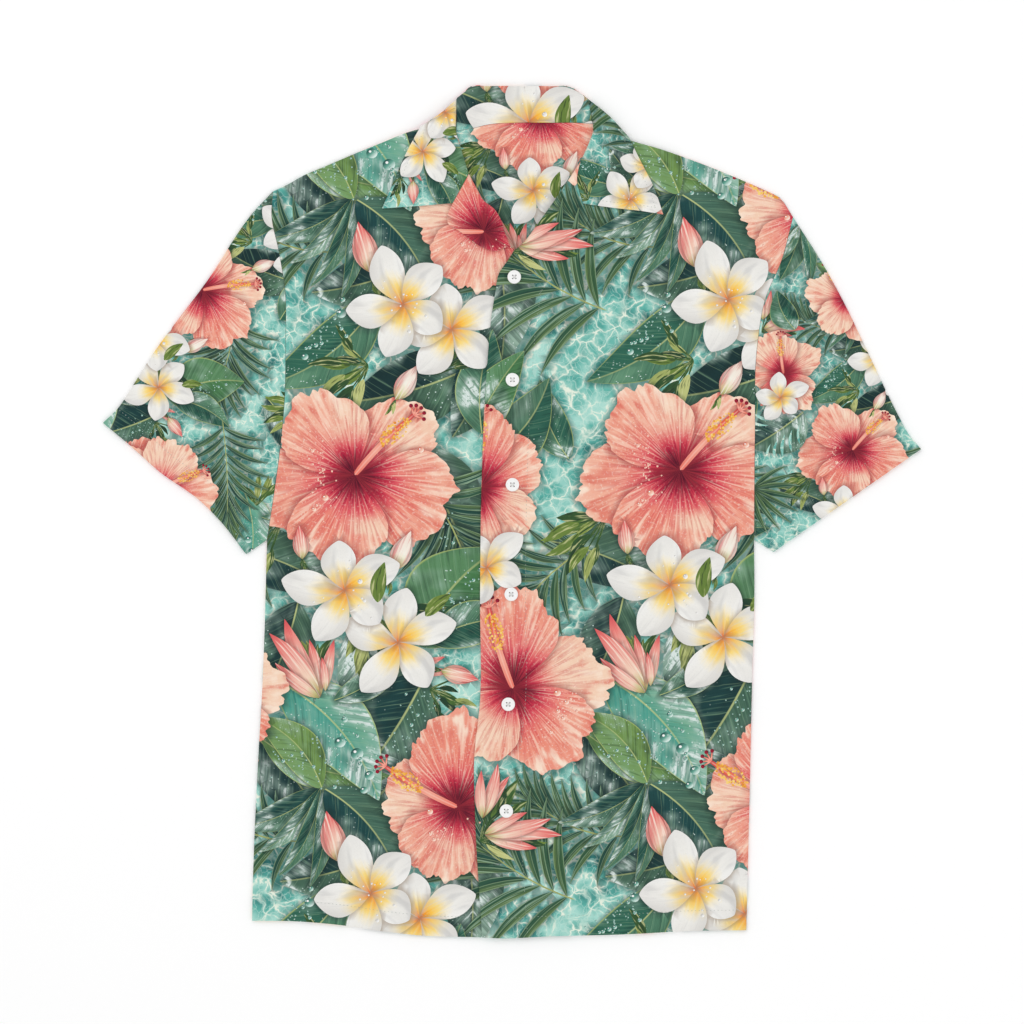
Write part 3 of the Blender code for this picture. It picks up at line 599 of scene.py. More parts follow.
# Leaves of one repeat: x, y of the foot, length, half-width, heading, bend, tone, seed
DEEP_LEAVES = (
    (104, 96, 116, 32, 196, 0.05, 0.02, 0.1), (128, 128, 104, 26, 246, 0.05, 0.06, 0.2),
    (48, 26, 128, 36, -64, 0.04, 0.04, 0.3), (-118, -62, 112, 26, -22, 0.06, 0.05, 0.4),
    (-50, -112, 112, 28, 247, 0.05, 0.03, 0.5), (4, -128, 124, 30, -84, 0.05, 0.04, 0.6),
    (62, -176, 124, 36, 236, 0.04, 0.08, 0.15), (-64, 292, 112, 28, -52, 0.05, 0.04, 0.45),
    (30, 250, 100, 26, -30, 0.06, 0.07, 0.55), (30, -330, 100, 26, 196, 0.05, 0.06, 0.65),
    (96, -316, 112, 28, -88, 0.05, 0.03, 0.75),
)
LEAVES = (
    # A broad wet leaf over the fan, one beside the second pair of plumerias, and a lime one on top
    (22, 156, 130, 25, 217, 0.1, 0.4, 0.32), (56, -150, 112, 37, 50, 0.09, 0.5, 0.05),
    (66, -146, 88, 20, 12, 0.09, 0.3, 0.38), (-54, 286, 118, 18, -16, -0.1, 0.78, 0.18),
    # Leaves round the knot below the coral bracts
    (-29, -275, 86, 13, 204, 0.09, 0.2, 0.12), (-31, -276, 78, 8, 226, 0.1, 0.3, 0.62),
    (-30, -277, 84, 8, 244, 0.09, 0.34, 0.72), (-28, -278, 86, 9, 262, 0.08, 0.26, 0.82),
    (-26, -276, 108, 27, -52, 0.1, 0.14, 0.42), (-66, -182, 136, 31, -50, 0.1, 0.63, 0.22),
    (-29, -275, 86, 18, 134, -0.12, 0.8, 0.52), (-18, -198, 82, 13, 36, -0.08, 0.24, 0.58),
    (112, 36, 88, 22, 84, 0.07, 0.42, 0.66), (-98, 10, 74, 17, 110, 0.08, 0.36, 0.77),
)
# Palm fronds: x, y of the foot, length, heading, length of the blades, bend, tone, seed, pairs
FRONDS = ((58, -2, 108, -64, 66, 0.05, 0.3, 13, 11), (-20, 196, 84, 160, 48, 0.1, 0.4, 16, 9),
          (-78, -66, 84, 222, 52, -0.06, 0.36, 12, 9), (-64, 140, 96, 150, 86, 0.05, 0.42, 11, 8))
# Stalks that fan out: x, y, heading, length, count, fan
TWIGS = ((-34, -190, 122, 50, 9, 150), (12, 96, 196, 50, 11, 190), (70, 88, 64, 42, 9, 160),
         (14, -112, -64, 62, 11, 150), (110, -326, 30, 60, 14, 150), (-64, -40, 216, 62, 12, 120),
         (66, -188, -30, 40, 8, 140), (30, 182, -70, 34, 7, 150))
# Bracts that fan out: x, y, heading, lengths, fan, tone
SPRAYS = ((-31, -196, 121, (52, 76, 72, 50), 14, 0.8), (-26, -190, 88, (46, 30), 16, 0.5),
          (114, -320, 6, (48, 68, 60, 42), 14, 0.75), (112, -306, 74, (44, 50, 42), 17, 0.35),
          (52, -172, 12, (34, 30), 24, 0.8))

# Beads of water on leaves: x, y, spread, count, angle
LEAF_BEADS = ((-20, -236, 60, 60, -50), (-24, 128, 50, 50, 37), (50, -226, 52, 50, 60),
              (90, -112, 46, 40, 50), (-20, 262, 46, 34, -20), (72, -40, 36, 30, -60))

LEAF_DROPS = ((2, -245, 5.6), (-13, -235, 5.0), (13, -264, 4.4), (8, -277, 3.4), (-9, -215, 2.8),
              (-12, 142, 4.4), (-44, 104, 3.2))


def print_tile(sparse=False):
    """The motifs of one repeat, the lowest first, about the heart of its first hibiscus."""
    groups = [
        *(leaf(*row) for row in DEEP_LEAVES[::3 if sparse else 1]),
        monstera(74, 262, 96, 222, 0.05, 0.4),
        *(frond(*row) for row in (FRONDS[:2] if sparse else FRONDS)),
        *(leaf(*row) for row in LEAVES),
        *(twigs(*row, 21 + number) for number, row in enumerate(TWIGS)),
        *(spray(*row[:-1], 3 + number, row[-1])
          for number, row in enumerate(SPRAYS[2:] if sparse else SPRAYS)),
        drops(*LEAF_DROPS),
        *(beads(*row[:-1], 0, 61 + number, row[-1]) for number, row in enumerate(LEAF_BEADS)),
        hibiscus(90, -292, 80, 26, 31, 150, 0.88),
    ]
    if not sparse:
        groups += [hibiscus(139, -192, 82, 18, 32, 106, 0.88),
                   drops((178, -196, 3.2), (186, -204, 2.4), tone=0.5),
                   beads(186, -214, 44, 40, 0.5, 68, 60)]
    groups += [
        hibiscus(0, 0, 89, 46, 33, 45, 0.88, 0.9, 0),
        beads(-34, 6, 44, 44, 0.5, 67, 100), beads(70, -318, 36, 30, 0.5, 69, 20),
        drops((-26, -20, 3.0), (-36, -30, 2.2), (58, 22, 2.8), (66, -296, 2.8), tone=0.5),
        bud(14, 178, 46, 104, 41), bud(36, 66, 36, 58, 42, 0.05), bud(34, -84, 38, 66, 43, 0.05),
        bud(-46, -74, 30, 96, 44, 0.5), bud(76, -172, 34, -14, 45, 0.6),
        plumeria(85, 128, 51, 96, 51), plumeria(42, 150, 52, 112, 52, 0.88, 80),
        plumeria(38, -147, 51, 88, 53, 0.9, 20), plumeria(-9, -101, 53, 100, 54, 0.84, 10),
        beads(-9, -101, 40, 16, 1, 70, 0, 1.0), beads(42, 150, 40, 14, 1, 71, 0, 1.0),
        leaf(20, -112, 36, 7, 80, 0.06, 0.6, 0.4, "sprig"),
        leaf(62, -124, 30, 6, 40, 0.06, 0.66, 0.7, "sprig"),
    ]
    return [motif for group in groups for motif in group]


BACK_PRINT, STAND_PRINT = Print((60.0, 20.0)), Print((24.0, 443.5))
LINING_PRINT = Print((24.6, 350.0), scale=0.66)
RIGHT_PRINT = Print((-138.2, 32.7), bare=((-8, -125, 70),))
LEFT_PRINT = Print(
    (147.8, 37.1),
    extra=(leaf(-186, 2, 106, 25, 48, -0.12, 0.34, 0.5) + leaf(-186, 20, 98, 20, 60, 0.05, 0.5, 0.16)
           + hibiscus(-176, -16, 66, 30, 81, 88, 0.9, 1.08) + plumeria(-170, -86, 40, 40, 82)),
    bare=((-59, -234, 74), (-31, 284, 70), (-75, 176, 50)))
RIGHT_LEAF_PRINT = Print((0.9, 361.8), -75.0, 0.6, bare=((-80, 258, 50), (-150, 257, 60)))
LEFT_LEAF_PRINT = Print((13.3, 251.5), -60.0, 0.6, plumeria(12.5, 197, 47, 230, 88))
RIGHT_FACING_PRINT, LEFT_FACING_PRINT = Print((-24.6, 246.5), 130.0, 0.75), LEFT_PRINT._replace(extra=())
RIGHT_SLEEVE_PRINT = Print(
    (-271.9, 195.5), -39, 0.62, frond(138, -126, 132, -48, 62, 0.02, 0.3, 92, 11)
    + hibiscus(129, -262, 78, 30, 91, 62))
LEFT_SLEEVE_PRINT = Print(
    (299.2, 54.7), 0, 0.54,
    leaf(-93, 196, 70, 22, 115, 0.1, 0.4, 0.3) + leaf(-85, 367, 96, 20, 250, 0.06, 0.34, 0.5)
    + leaf(-85, 367, 88, 10, 232, 0.08, 0.3, 0.6) + leaf(-82, 367, 104, 11, 276, 0.08, 0.4, 0.7)
    + monstera(-80, 62, 104, 214, 0.06, 0.6) + hibiscus(-7, 245, 73, 20, 83, 120)
    + hibiscus(-112, 124, 68, 30, 84, 94) + plumeria(-117, 85, 46, 96, 86)
    + fan(-162, -64, 84, 34, -86, 9, 0.4, 94),
    ((214, 182, 50),))


def laid_out(motifs, outline, laid):
    """The motifs of every repeat that reaches a panel, lowest first, in the panel's place."""
    angle = math.radians(laid.angle)
    low, high = outline.min(0), outline.max(0)
    box = np.array([(x, y) for x in (low[0], high[0]) for y in (low[1], high[1])])
    corners = turned(box - laid.anchor, -angle) / laid.scale @ np.linalg.inv(STEPS)
    (left, bottom), (right, top) = np.floor(corners.min(0)) - 1, np.ceil(corners.max(0)) + 1
    repeats = [(i, j) for j in np.arange(top, bottom - 1, -1) for i in np.arange(left, right + 1)]
    repeats = turned(repeats @ STEPS, angle) * laid.scale + laid.anchor

    def reaching(motif):
        ends = motif.outline.min(0), motif.outline.max(0)
        middle = turned((ends[0] + ends[1]) / 2, angle) * laid.scale + repeats
        reach = np.linalg.norm(ends[1] - ends[0]) / 2 * laid.scale
        return repeats[((middle + reach > low) & (middle - reach < high)).all(1)]

    made = [moved(motif, shift, angle, laid.scale) for motif in motifs for shift in reaching(motif)]
    made = [m for m in made if m.kind not in FLOWERS
            or all(math.dist(m.foot, spot) >= radius for *spot, radius in laid.bare)]
    made += [moved(motif, laid.anchor, angle, laid.scale) for motif in laid.extra]
    return [m for m in made if (m.outline.max(0) > low).all() and (m.outline.min(0) < high).all()]


# ---------------------------------------------------------------- printed sheets and shells

Sheet = namedtuple("Sheet", "points faces kinds place shade")


def lattice(outline, spacing):
    low, high = outline.min(0), outline.max(0)
    rows = np.arange(low[1], high[1], spacing * math.sqrt(0.75))
    columns = np.arange(low[0], high[0], spacing)
    return np.array([(x + (i % 2) * spacing / 2, y) for i, y in enumerate(rows) for x in columns])


def signed_area(corners):
    """Twice the area of each triangle, negative where it is clockwise."""
    (x0, y0), (x1, y1), (x2, y2) = corners.transpose(1, 2, 0)
    return (x1 - x0) * (y2 - y0) - (x2 - x0) * (y1 - y0)


def triangles(loops, points, kept):
    """Counterclockwise triangles through closed loops and points; kept says which, by their middles."""
    edges, start = [], 0
    for loop in loops:
        ring = np.arange(len(loop)) + start
        edges += zip(ring.tolist(), np.roll(ring, -1).tolist())
        start += len(loop)
    flat = np.vstack([*loops, *points]).tolist()
    made = delaunay_2d_cdt([Vector(point) for point in flat], edges, [], 0, 1e-4, False)
    corners = np.array([tuple(point) for point in made[0]])
    faces = np.array([face for face in made[2] if len(face) == 3])
    area = signed_area(corners[faces])
    faces[area < 0] = faces[area < 0][:, ::-1]
    faces = faces[kept(corners[faces].mean(1)) & (abs(area) > 1e-5)]
    used, faces = np.unique(faces, return_inverse=True)
    return corners[used], faces.reshape(-1, 3)


def cut_up(outline, motifs, lines):
    """Triangles of a panel, cut along the outlines of its motifs, with points along some lines."""
    def within(points, clear):
        return points[edge_distance(points, outline) > clear]

    normal = inwards(outline)
    rows = [within(outline + normal * depth, 0.8 * depth) for depth in EDGE_ROWS]
    rows += [within(line, EDGE_ROWS[-1] + 0.8) for line in lines]
    return triangles([outline, *(motif.outline for motif in motifs)],
                     [*rows, within(lattice(outline, MESH), 0.5 * MESH)],
                     lambda middle: inside(middle, outline))


def finder(middle):
    """A search for the triangles whose middles lie in a box."""
    order = np.argsort(middle[:, 0])
    x = middle[order, 0]

    def found(low, high):
        near = order[np.searchsorted(x, low[0]):np.searchsorted(x, high[0])]
        return near[(middle[near, 1] > low[1]) & (middle[near, 1] < high[1])]

    return found


def owners(middle, motifs, found):
    """The uppermost motif over each triangle, or -1."""
    owner = np.full(len(middle), -1)
    for number, motif in enumerate(motifs):
        near = found(motif.outline.min(0), motif.outline.max(0))
        owner[near[inside(middle[near], motif.outline)]] = number
    return owner


def shadows(corners, owner, motifs, found):
    """How dark each corner is in the shadow of the motifs drawn over its own."""
    shade = np.zeros((len(corners), 3))
    marks = np.array([(*motif.foot, motif.seed) for motif in motifs] + [(0, 0, -1)])
    for number, motif in enumerate(motifs):
        reach = CASTS.get(motif.kind, 0) * min(1.0, motif.length / 60 + 0.4)
        if not reach:
            continue
        near = found(motif.outline.min(0) - reach, motif.outline.max(0) + reach)
        near = near[(owner[near] < number) & (marks[owner[near]] != marks[number]).any(1)]
        if len(near):
            ring = np.vstack([motif.outline, motif.outline[:1]])
            away = distance(corners[near].reshape(-1, 2), ring).reshape(-1, 3)
            shade[near] = np.maximum(shade[near], 1 - ease(away / reach))
    return shade


def printed(outline, motifs, lines, laid):
    """A flat printed sheet: its triangles, their kinds, and each corner's place in its motif."""
    points, faces = cut_up(outline, motifs, lines)
    corners = points[faces]
    found = finder(corners.mean(1))
    owner = owners(corners.mean(1), motifs, found)
    place = np.zeros((*faces.shape, 3))
    place[..., :2] = turned(corners - laid.anchor, -math.radians(laid.angle)) / (100 * laid.scale)
    for number, motif in enumerate(motifs):
        mine = np.flatnonzero(owner == number)
        if len(mine) and motif.kind != "water":
            place[mine, :, :2] = own_place(motif, corners[mine])
            place[mine, :, 2] = math.floor(motif.seed * 99) + min(0.99, max(0.0, motif.tone))
    kinds = np.array([KINDS.index(motif.kind) for motif in motifs] + [0])[owner]
    return Sheet(points, faces, kinds, place, shadows(corners, owner, motifs, found))


def vertex_normals(points, faces):
    corner = points[faces]
    normal = np.cross(corner[:, 1] - corner[:, 0], corner[:, 2] - corner[:, 0])
    total = np.zeros_like(points)
    for k in range(3):
        np.add.at(total, faces[:, k], normal)
    return total / np.maximum(np.linalg.norm(total, axis=1), 1e-9)[:, None]


def slab(faces, count):
    """The faces of a sheet, its copy behind it and the walls between, and where its free edges are."""
    edges = np.vstack([faces[:, [0, 1]], faces[:, [1, 2]], faces[:, [2, 0]]])
    key = np.sort(edges, axis=1) @ (count, 1)
    _, first, times = np.unique(key, return_index=True, return_counts=True)
    rim = first[times == 1]
    a, b = edges[rim].T
    walls = [np.column_stack([b, a, a + count]), np.column_stack([b, a + count, b + count])]
    return np.vstack([faces, faces[:, ::-1] + count, *walls]), rim % len(faces), rim // len(faces)


def shell(sheet, height, facing_up, thick):
    """A thin closed shell: the printed skin at a height, the skin behind it and the rim between."""
    flip = slice(None, None, 1 if facing_up else -1)
    faces, place, shade = sheet.faces[:, flip], sheet.place[:, flip], sheet.shade[:, flip]
    outer = np.column_stack([sheet.points, height])
    closed, face, slot = slab(faces, len(outer))
    at_a, at_b = place[face, slot], place[face, (slot + 1) % 3]
    walls = np.vstack([np.stack([at_b, at_a, at_a], 1), np.stack([at_b, at_a, at_b], 1)])
    return (np.vstack([outer, outer - vertex_normals(outer, faces) * thick]), closed,
            np.concatenate([sheet.kinds, sheet.kinds, sheet.kinds[face], sheet.kinds[face]]),
            np.vstack([place, place[:, ::-1], walls]),
            np.vstack([shade, shade[:, ::-1], np.zeros((len(walls), 3))]))


def stitches(line, skin, outline, clear=2.0, side=1):
    """A row of stitches on a skin along a line, each a small lozenge with its ends in the cloth."""
    run = np.r_[0, np.cumsum(np.linalg.norm(np.diff(line, axis=0), axis=1))]
    at = np.arange(STITCH_PITCH / 2, run[-1] - STITCH_PITCH / 2, STITCH_PITCH)
    start, end = (np.column_stack([np.interp(at + half, run, axis) for axis in line.T])
                  for half in (-STITCH / 2, STITCH / 2))
    keep = edge_distance((start + end) / 2, outline) > clear
    start, end = start[keep], end[keep]
    middle, along = (start + end) / 2, (end - start) / STITCH
    out = np.column_stack([-along[:, 1], along[:, 0]]) * THREAD / 2
    level = skin(middle)
    spots = [(start, skin(start) - SINK * side), (end, skin(end) - SINK * side), (middle - out, level),
             (middle + out, level), (middle, level + THREAD * side / 2), (middle, level - ROOT * side)]
    points = np.stack([np.column_stack([xy, z]) for xy, z in spots], 1).reshape(-1, 3)
    lozenge = np.array(
        [(0, 2, 4), (2, 1, 4), (1, 3, 4), (3, 0, 4), (2, 0, 5), (1, 2, 5), (3, 1, 5), (0, 3, 5)])
    faces = (lozenge[:, ::side] + 6 * np.arange(len(middle))[:, None, None]).reshape(-1, 3)
    return (points, faces, np.full(len(faces), KINDS.index("thread")), np.zeros((len(faces), 3, 3)),
            np.zeros((len(faces), 3)))


# ---------------------------------------------------------------- materials

WEAVE = 2 * math.pi / 0.0007  # the threads of the cloth lie 0.7 mm apart
DARK = (14, 40, 38)  # a shadow on leaves and water


def rgb(*colour):
    """A shader colour from the 0 to 255 values that a screen shows."""
    value = np.array(colour) / 255
    linear = np.where(value <= 0.04045, value / 12.92, ((value + 0.055) / 1.055) ** 2.4)
    return *linear.tolist(), 1.0


class Value:
    """A number in a material, with the signs of arithmetic."""

    def __init__(self, graph, socket):
        self.graph, self.socket = graph, socket

    def __add__(self, other):
        return self.graph.math("ADD", self, other)

    def __sub__(self, other):
        return self.graph.math("SUBTRACT", self, other)

    def __mul__(self, other):
        return self.graph.math("MULTIPLY", self, other)

    def __truediv__(self, other):
        return self.graph.math("DIVIDE", self, other)

    def __abs__(self):
        return self.graph.math("ABSOLUTE", self)


class Graph:
    """Short forms for the nodes of one material, and the colour that it has so far."""

    def __init__(self, name):
        self.material = bpy.data.materials.new(name)
        self.material.use_nodes = True
        self.tree = self.material.node_tree
        self.colour = None

    def feed(self, socket, value):
        if isinstance(value, Value):
            value = value.socket
        if isinstance(value, bpy.types.NodeSocket):
            self.tree.links.new(value, socket)
        else:
            socket.default_value = value

    def node(self, kind, *values, settings=(), **inputs):
        made = self.tree.nodes.new("ShaderNode" + kind)
        for key, value in dict(settings).items():
            setattr(made, key, value)
        for key, value in [*enumerate(values), *inputs.items()]:
            self.feed(made.inputs[key], value)
        return made

    def math(self, operation, *values):
        return Value(self, self.node("Math", *values, settings={"operation": operation}).outputs[0])

    def mix(self, share, first, second, blend="MIX"):
        made = self.node("Mix", share,
                         settings={"data_type": "RGBA", "blend_type": blend, "clamp_factor": True})
        self.feed(made.inputs[6], first)
        self.feed(made.inputs[7], second)
        return made.outputs[2]

    def tint(self, share, *colour):
        self.colour = self.mix(share, self.colour, rgb(*colour))

    def step(self, value, low, high):
        """0 below low, 1 above high and smooth between them."""
        made = self.node("MapRange", value, low, high, settings={"interpolation_type": "SMOOTHSTEP"})
        return Value(self, made.outputs[0])

    def ramp(self, value, *stops):
        made = self.node("ValToRGB", value)
        elements = made.color_ramp.elements
        while len(elements) < len(stops):
            elements.new(1.0)
        for element, (position, *colour) in zip(elements, stops):
            element.position = position
            element.color = rgb(*colour)
        return made.outputs[0]

    def vector(self, at):
        return self.node("CombineXYZ", *at).outputs[0] if isinstance(at, tuple) else at

    def noise(self, at, scale=1.0, detail=2.0, rough=0.5):
        made = self.node("TexNoise", Vector=self.vector(at), Scale=scale, Detail=detail, Roughness=rough)
        return Value(self, made.outputs[0])

    def cells(self, at, scale, feature="DISTANCE_TO_EDGE"):
        made = self.node("TexVoronoi", Vector=self.vector(at), Scale=scale, settings={"feature": feature})
        return Value(self, made.outputs[0])

    def split(self, vector):
        return [Value(self, socket) for socket in self.node("SeparateXYZ", vector).outputs]

    def surface(self, colour, **settings):
        shader = self.tree.nodes["Principled BSDF"]
        self.feed(shader.inputs["Base Color"], colour)
        for name, value in settings.items():
            self.feed(shader.inputs[name.replace("_", " ")], value)
        return self.material

    def cloth(self, dark=DARK):
        """The cloth under the print: plain weave, a little slub and the shadows between motifs."""
        at = self.node("TexCoord").outputs["Object"]
        shade = Value(self, self.node("Attribute", settings={"attribute_name": "shade"}).outputs[2])
        self.tint(shade * 0.62, *dark)
        grain = self.noise(at, 900) * 0.24 - 0.04
        colour = self.mix(grain, self.colour, rgb(250, 250, 246), "SOFT_LIGHT")
        x, y, _ = self.split(at)
        weave = self.math("SINE", x * WEAVE) * self.math("SINE", y * WEAVE) + self.noise(at, 260, 3.0) * 2.0
        bump = self.node("Bump", Strength=0.22, Distance=0.0002, Height=weave)
        return self.surface(colour, Roughness=0.82, Specular_IOR_Level=0.25, Sheen_Weight=0.12,
                            Sheen_Roughness=0.5, Normal=bump.outputs[0])


def motif_graph(kind):
    """A material's graph, and along, across, tone and seed of the motif that a point lies in."""
    g = Graph("print_" + kind)
    x, y, code = g.split(g.node("Attribute", settings={"attribute_name": "print"}).outputs[1])
    return g, x, y, g.math("FRACT", code), g.math("FLOOR", code)


def water():
    g, x, y, _, _ = motif_graph("water")
    flat = g.vector((x, y))
    drift = g.node("TexNoise", Vector=flat, Scale=6.2, Detail=3.0).outputs[1]
    bent = g.node("VectorMath", settings={"operation": "MULTIPLY_ADD"})
    for socket, value in zip(bent.inputs, (drift, (0.23, 0.23, 0.0), flat)):
        g.feed(socket, value)
    wide, fine = (g.cells(bent.outputs[0], scale) for scale in (7.6, 17.0))
    g.colour = g.ramp(g.noise(flat, 3.4, 4.0), (0.34, 50, 124, 120), (0.47, 92, 176, 164),
                      (0.62, 164, 218, 206))
    g.tint(g.step(wide, 0.24, 0.0) * 0.46, 184, 228, 214)
    g.tint(g.step(fine, 0.08, 0.0) * 0.4, 206, 234, 222)
    fade = g.step(g.noise(flat, 9.0, 3.0), 0.36, 0.6) * 0.84 + 0.12
    g.tint(g.step(wide, 0.07, 0.004) * fade, 240, 246, 228)
    return g.cloth()


def hibiscus_cloth():
    g, x, y, tone, seed = motif_graph("hibiscus")
    r, angle = g.math("SQRT", x * x + y * y), g.math("ARCTAN2", y, x)
    throat = g.noise((angle * 9, r * 1.3, seed), detail=3.0) * 0.36 + r + tone * 0.08 - 0.26
    g.colour = g.ramp(throat, (0.05, 84, 4, 32), (0.14, 128, 10, 44), (0.22, 180, 28, 62),
                      (0.31, 222, 84, 94), (0.44, 237, 134, 122), (0.6, 242, 160, 138),
                      (0.78, 245, 177, 152), (1.0, 246, 186, 162))
    outer, rim = g.step(r, 0.28, 0.62), g.step(r, 0.42, 1.0)
    lean = g.noise((x, y, seed), 1.9, 3.0) + (tone - 0.5) * 0.36
    g.tint(g.step(lean, 0.46, 0.66) * outer * 0.85, 248, 214, 186)
    g.tint(g.step(lean, 0.46, 0.3) * outer * 0.6, 236, 126, 106)
    ruffle = g.noise((angle * 7, r * 3, seed))
    g.tint(g.step(ruffle, 0.51, 0.66) * rim, 255, 230, 208)
    g.tint(g.step(ruffle, 0.47, 0.34) * rim * 0.85, 222, 108, 92)
    vein = g.noise((angle * 24, r * 2.2, seed))
    g.tint(g.step(vein, 0.5, 0.6) * g.step(vein, 0.72, 0.62) * g.step(r, 1.05, 0.5) * 0.5, 206, 60, 72)
    g.tint(g.step(vein, 0.46, 0.36) * g.step(r, 0.1, 0.45) * 0.5, 255, 222, 200)
    speck = g.noise((x, y, seed), 44)
    g.tint(g.step(speck, 0.56, 0.68) * g.step(r, 0.1, 0.5) * 0.36, 255, 236, 220)
    return g.cloth((142, 34, 48))


def plumeria_cloth():
    g, x, y, _, seed = motif_graph("plumeria")
    lines = g.noise((x * 0.8, y * 5, seed))
    g.colour = g.ramp(lines * 0.2 + abs(y) * 0.16 + x - 0.1, (0.02, 228, 108, 26), (0.1, 246, 154, 36),
                      (0.23, 254, 197, 78), (0.37, 254, 222, 134), (0.51, 250, 240, 214),
                      (0.64, 243, 241, 235), (1.0, 234, 232, 228))
    g.tint(g.step(g.noise((x * 1.4, y * 1.2, seed)), 0.52, 0.34) * 0.5, 190, 190, 190)
    g.tint(g.step(y, 0.0, 0.9) * 0.4, 192, 188, 184)
    g.tint(g.step(y, -0.3, -0.95) * 0.4, 252, 252, 250)
    edge = g.step(y / g.math("MAXIMUM", x, 0.03), -1.5, -2.1) * g.step(x, 0.6, 0.3)
    g.tint(edge * 0.75, 255, 252, 244)
    g.tint(g.step(lines, 0.55, 0.7) * 0.25, 210, 208, 206)
    g.tint(g.step(g.noise((x, y, seed), 30, 3.0), 0.55, 0.7) * 0.24, 196, 198, 198)
    return g.cloth((150, 128, 104))


def leaf_cloth():
    g, x, y, tone, seed = motif_graph("leaf")
    side = abs(y)
    slant = side * -0.26 + x
    g.colour = g.ramp(tone, (0.0, 12, 44, 46), (0.14, 22, 68, 68), (0.3, 34, 84, 70), (0.45, 46, 104, 84),
                      (0.52, 74, 122, 66), (0.62, 66, 156, 142), (0.72, 88, 140, 84), (0.85, 122, 148, 70))
    form = g.noise((x * 2, y * 0.9, seed), detail=3.0)
    g.tint(g.step(form, 0.5, 0.32) * 0.65, 10, 40, 42)
    g.tint(g.step(form, 0.54, 0.7) * 0.34, 128, 180, 146)
    g.tint(g.step(y, -0.05, 0.05) * 0.24, 124, 168, 128)
    fibre = g.noise((slant * 40, side * 0.8, seed), detail=3.0)
    g.tint(g.step(fibre, 0.52, 0.66) * 0.2, 128, 172, 140)
    g.tint(g.step(fibre, 0.46, 0.34) * 0.4, 14, 46, 44)
    vein = g.math("PINGPONG", form * 0.7 + slant * 8, 0.5)
    g.tint(g.step(vein, 0.05, 0.0) * 0.2, 158, 192, 150)
    area = g.noise((x * 2.6, y * 0.8, seed + 0.5))
    wet = g.noise((slant * 17, side * 1.3, seed), 1.0, 3.0, 0.6)
    broken = g.noise((x, y * 0.3, seed), 30, 3.0, 0.6)
    sheen = g.step(area, 0.44, 0.66) * (g.step(fibre, 0.36, 0.6) * 0.3 + 0.3) * g.step(side, 0.0, 0.16)
    g.tint(sheen, 172, 202, 186)
    gloss = g.step(area, 0.53, 0.62) * g.step(wet, 0.46, 0.6) * g.step(broken, 0.36, 0.48)
    g.tint(gloss * 0.9, 226, 238, 234)
    bead = g.cells((x, y * 0.28, seed), 30, "F1")
    g.tint(g.step(bead, 0.2, 0.1) * g.step(form, 0.48, 0.56), 205, 226, 218)
    g.tint(g.step(side, 0.036, 0.012) * (x * -0.6 + 0.9), 190, 200, 134)
    width = g.math("POWER", g.math("SINE", g.math("POWER", x, 0.8) * math.pi), 0.85)
    rim = g.step(side / g.math("MAXIMUM", width, 0.02), 0.93, 0.985)
    g.tint(rim * g.step(tone, 0.1, 0.3) * 0.75, 172, 188, 112)
    return g.cloth()


def leaflet_cloth():
    g, x, y, tone, seed = motif_graph("leaflet")
    side = abs(y)
    g.colour = g.ramp(tone, (0.1, 20, 56, 54), (0.35, 34, 76, 64), (0.6, 58, 94, 56))
    g.tint(g.step(y, 0.0, 0.6) * 0.5, 112, 136, 78)
    fibre = g.noise((x * 1.2, y * 3, seed))
    g.tint(g.step(fibre, 0.55, 0.66) * 0.55, 166, 198, 172)
    g.tint(g.step(fibre, 0.46, 0.34) * 0.5, 12, 42, 42)
    width = g.math("SINE", g.math("POWER", x, 0.75) * math.pi)
    g.tint(g.step(side / g.math("MAXIMUM", width, 0.05), 0.74, 0.97) * 0.6, 150, 178, 140)
    g.tint(g.step(side, 0.12, 0.02) * 0.4, 160, 188, 140)
    return g.cloth()


def bract_cloth():
    g, x, y, tone, seed = motif_graph("bract")
    lines = g.noise((x * 1.5, y * 4.5, seed), detail=3.0)
    reach = lines * 0.3 + x - 0.15
    pink = g.ramp(reach, (0.0, 112, 136, 66), (0.12, 196, 192, 130), (0.28, 246, 212, 188),
                  (0.55, 243, 184, 168), (0.82, 236, 130, 122), (1.0, 214, 76, 82))
    white = g.ramp(reach, (0.0, 118, 140, 66), (0.2, 218, 216, 160), (0.45, 248, 244, 230),
                   (1.0, 242, 218, 204))
    g.colour = g.mix(g.step(tone, 0.1, 0.2), white, pink)
    g.tint(g.step(y, 0.1, 0.7) * 0.4, 206, 96, 98)
    g.tint(g.step(lines, 0.54, 0.64) * 0.5, 222, 100, 102)
    g.tint(g.step(lines, 0.47, 0.36) * 0.75, 254, 232, 218)
    g.tint(g.step(abs(y), 0.66, 0.95) * 0.4, 206, 84, 90)
    return g.cloth((120, 52, 52))


def sprig_cloth():
    g, x, y, tone, seed = motif_graph("sprig")
    g.colour = g.ramp(tone, (0.0, 26, 58, 42), (0.4, 62, 98, 46), (0.75, 120, 142, 62), (1.0, 194, 198, 130))
    lines = g.noise((x * 2, y * 2.5, seed))
    g.tint(g.step(lines, 0.54, 0.66) * 0.7, 206, 208, 150)
    g.tint(g.step(lines, 0.46, 0.34) * 0.7, 34, 54, 34)
    return g.cloth()


def stamen_cloth():
    g, x, y, _, _ = motif_graph("stamen")
    g.colour = g.ramp(x, (0.0, 236, 110, 96), (0.35, 246, 166, 146), (0.7, 232, 96, 72), (1.0, 206, 44, 60))
    g.tint(g.step(abs(y), 0.4, 0.0) * 0.4, 255, 214, 196)
    return g.cloth((170, 50, 60))


def anther_cloth():
    g, _, _, tone, _ = motif_graph("anther")
    g.colour = g.ramp(tone, (0.0, 226, 132, 48), (0.5, 246, 184, 72), (1.0, 252, 218, 130))
    return g.cloth()


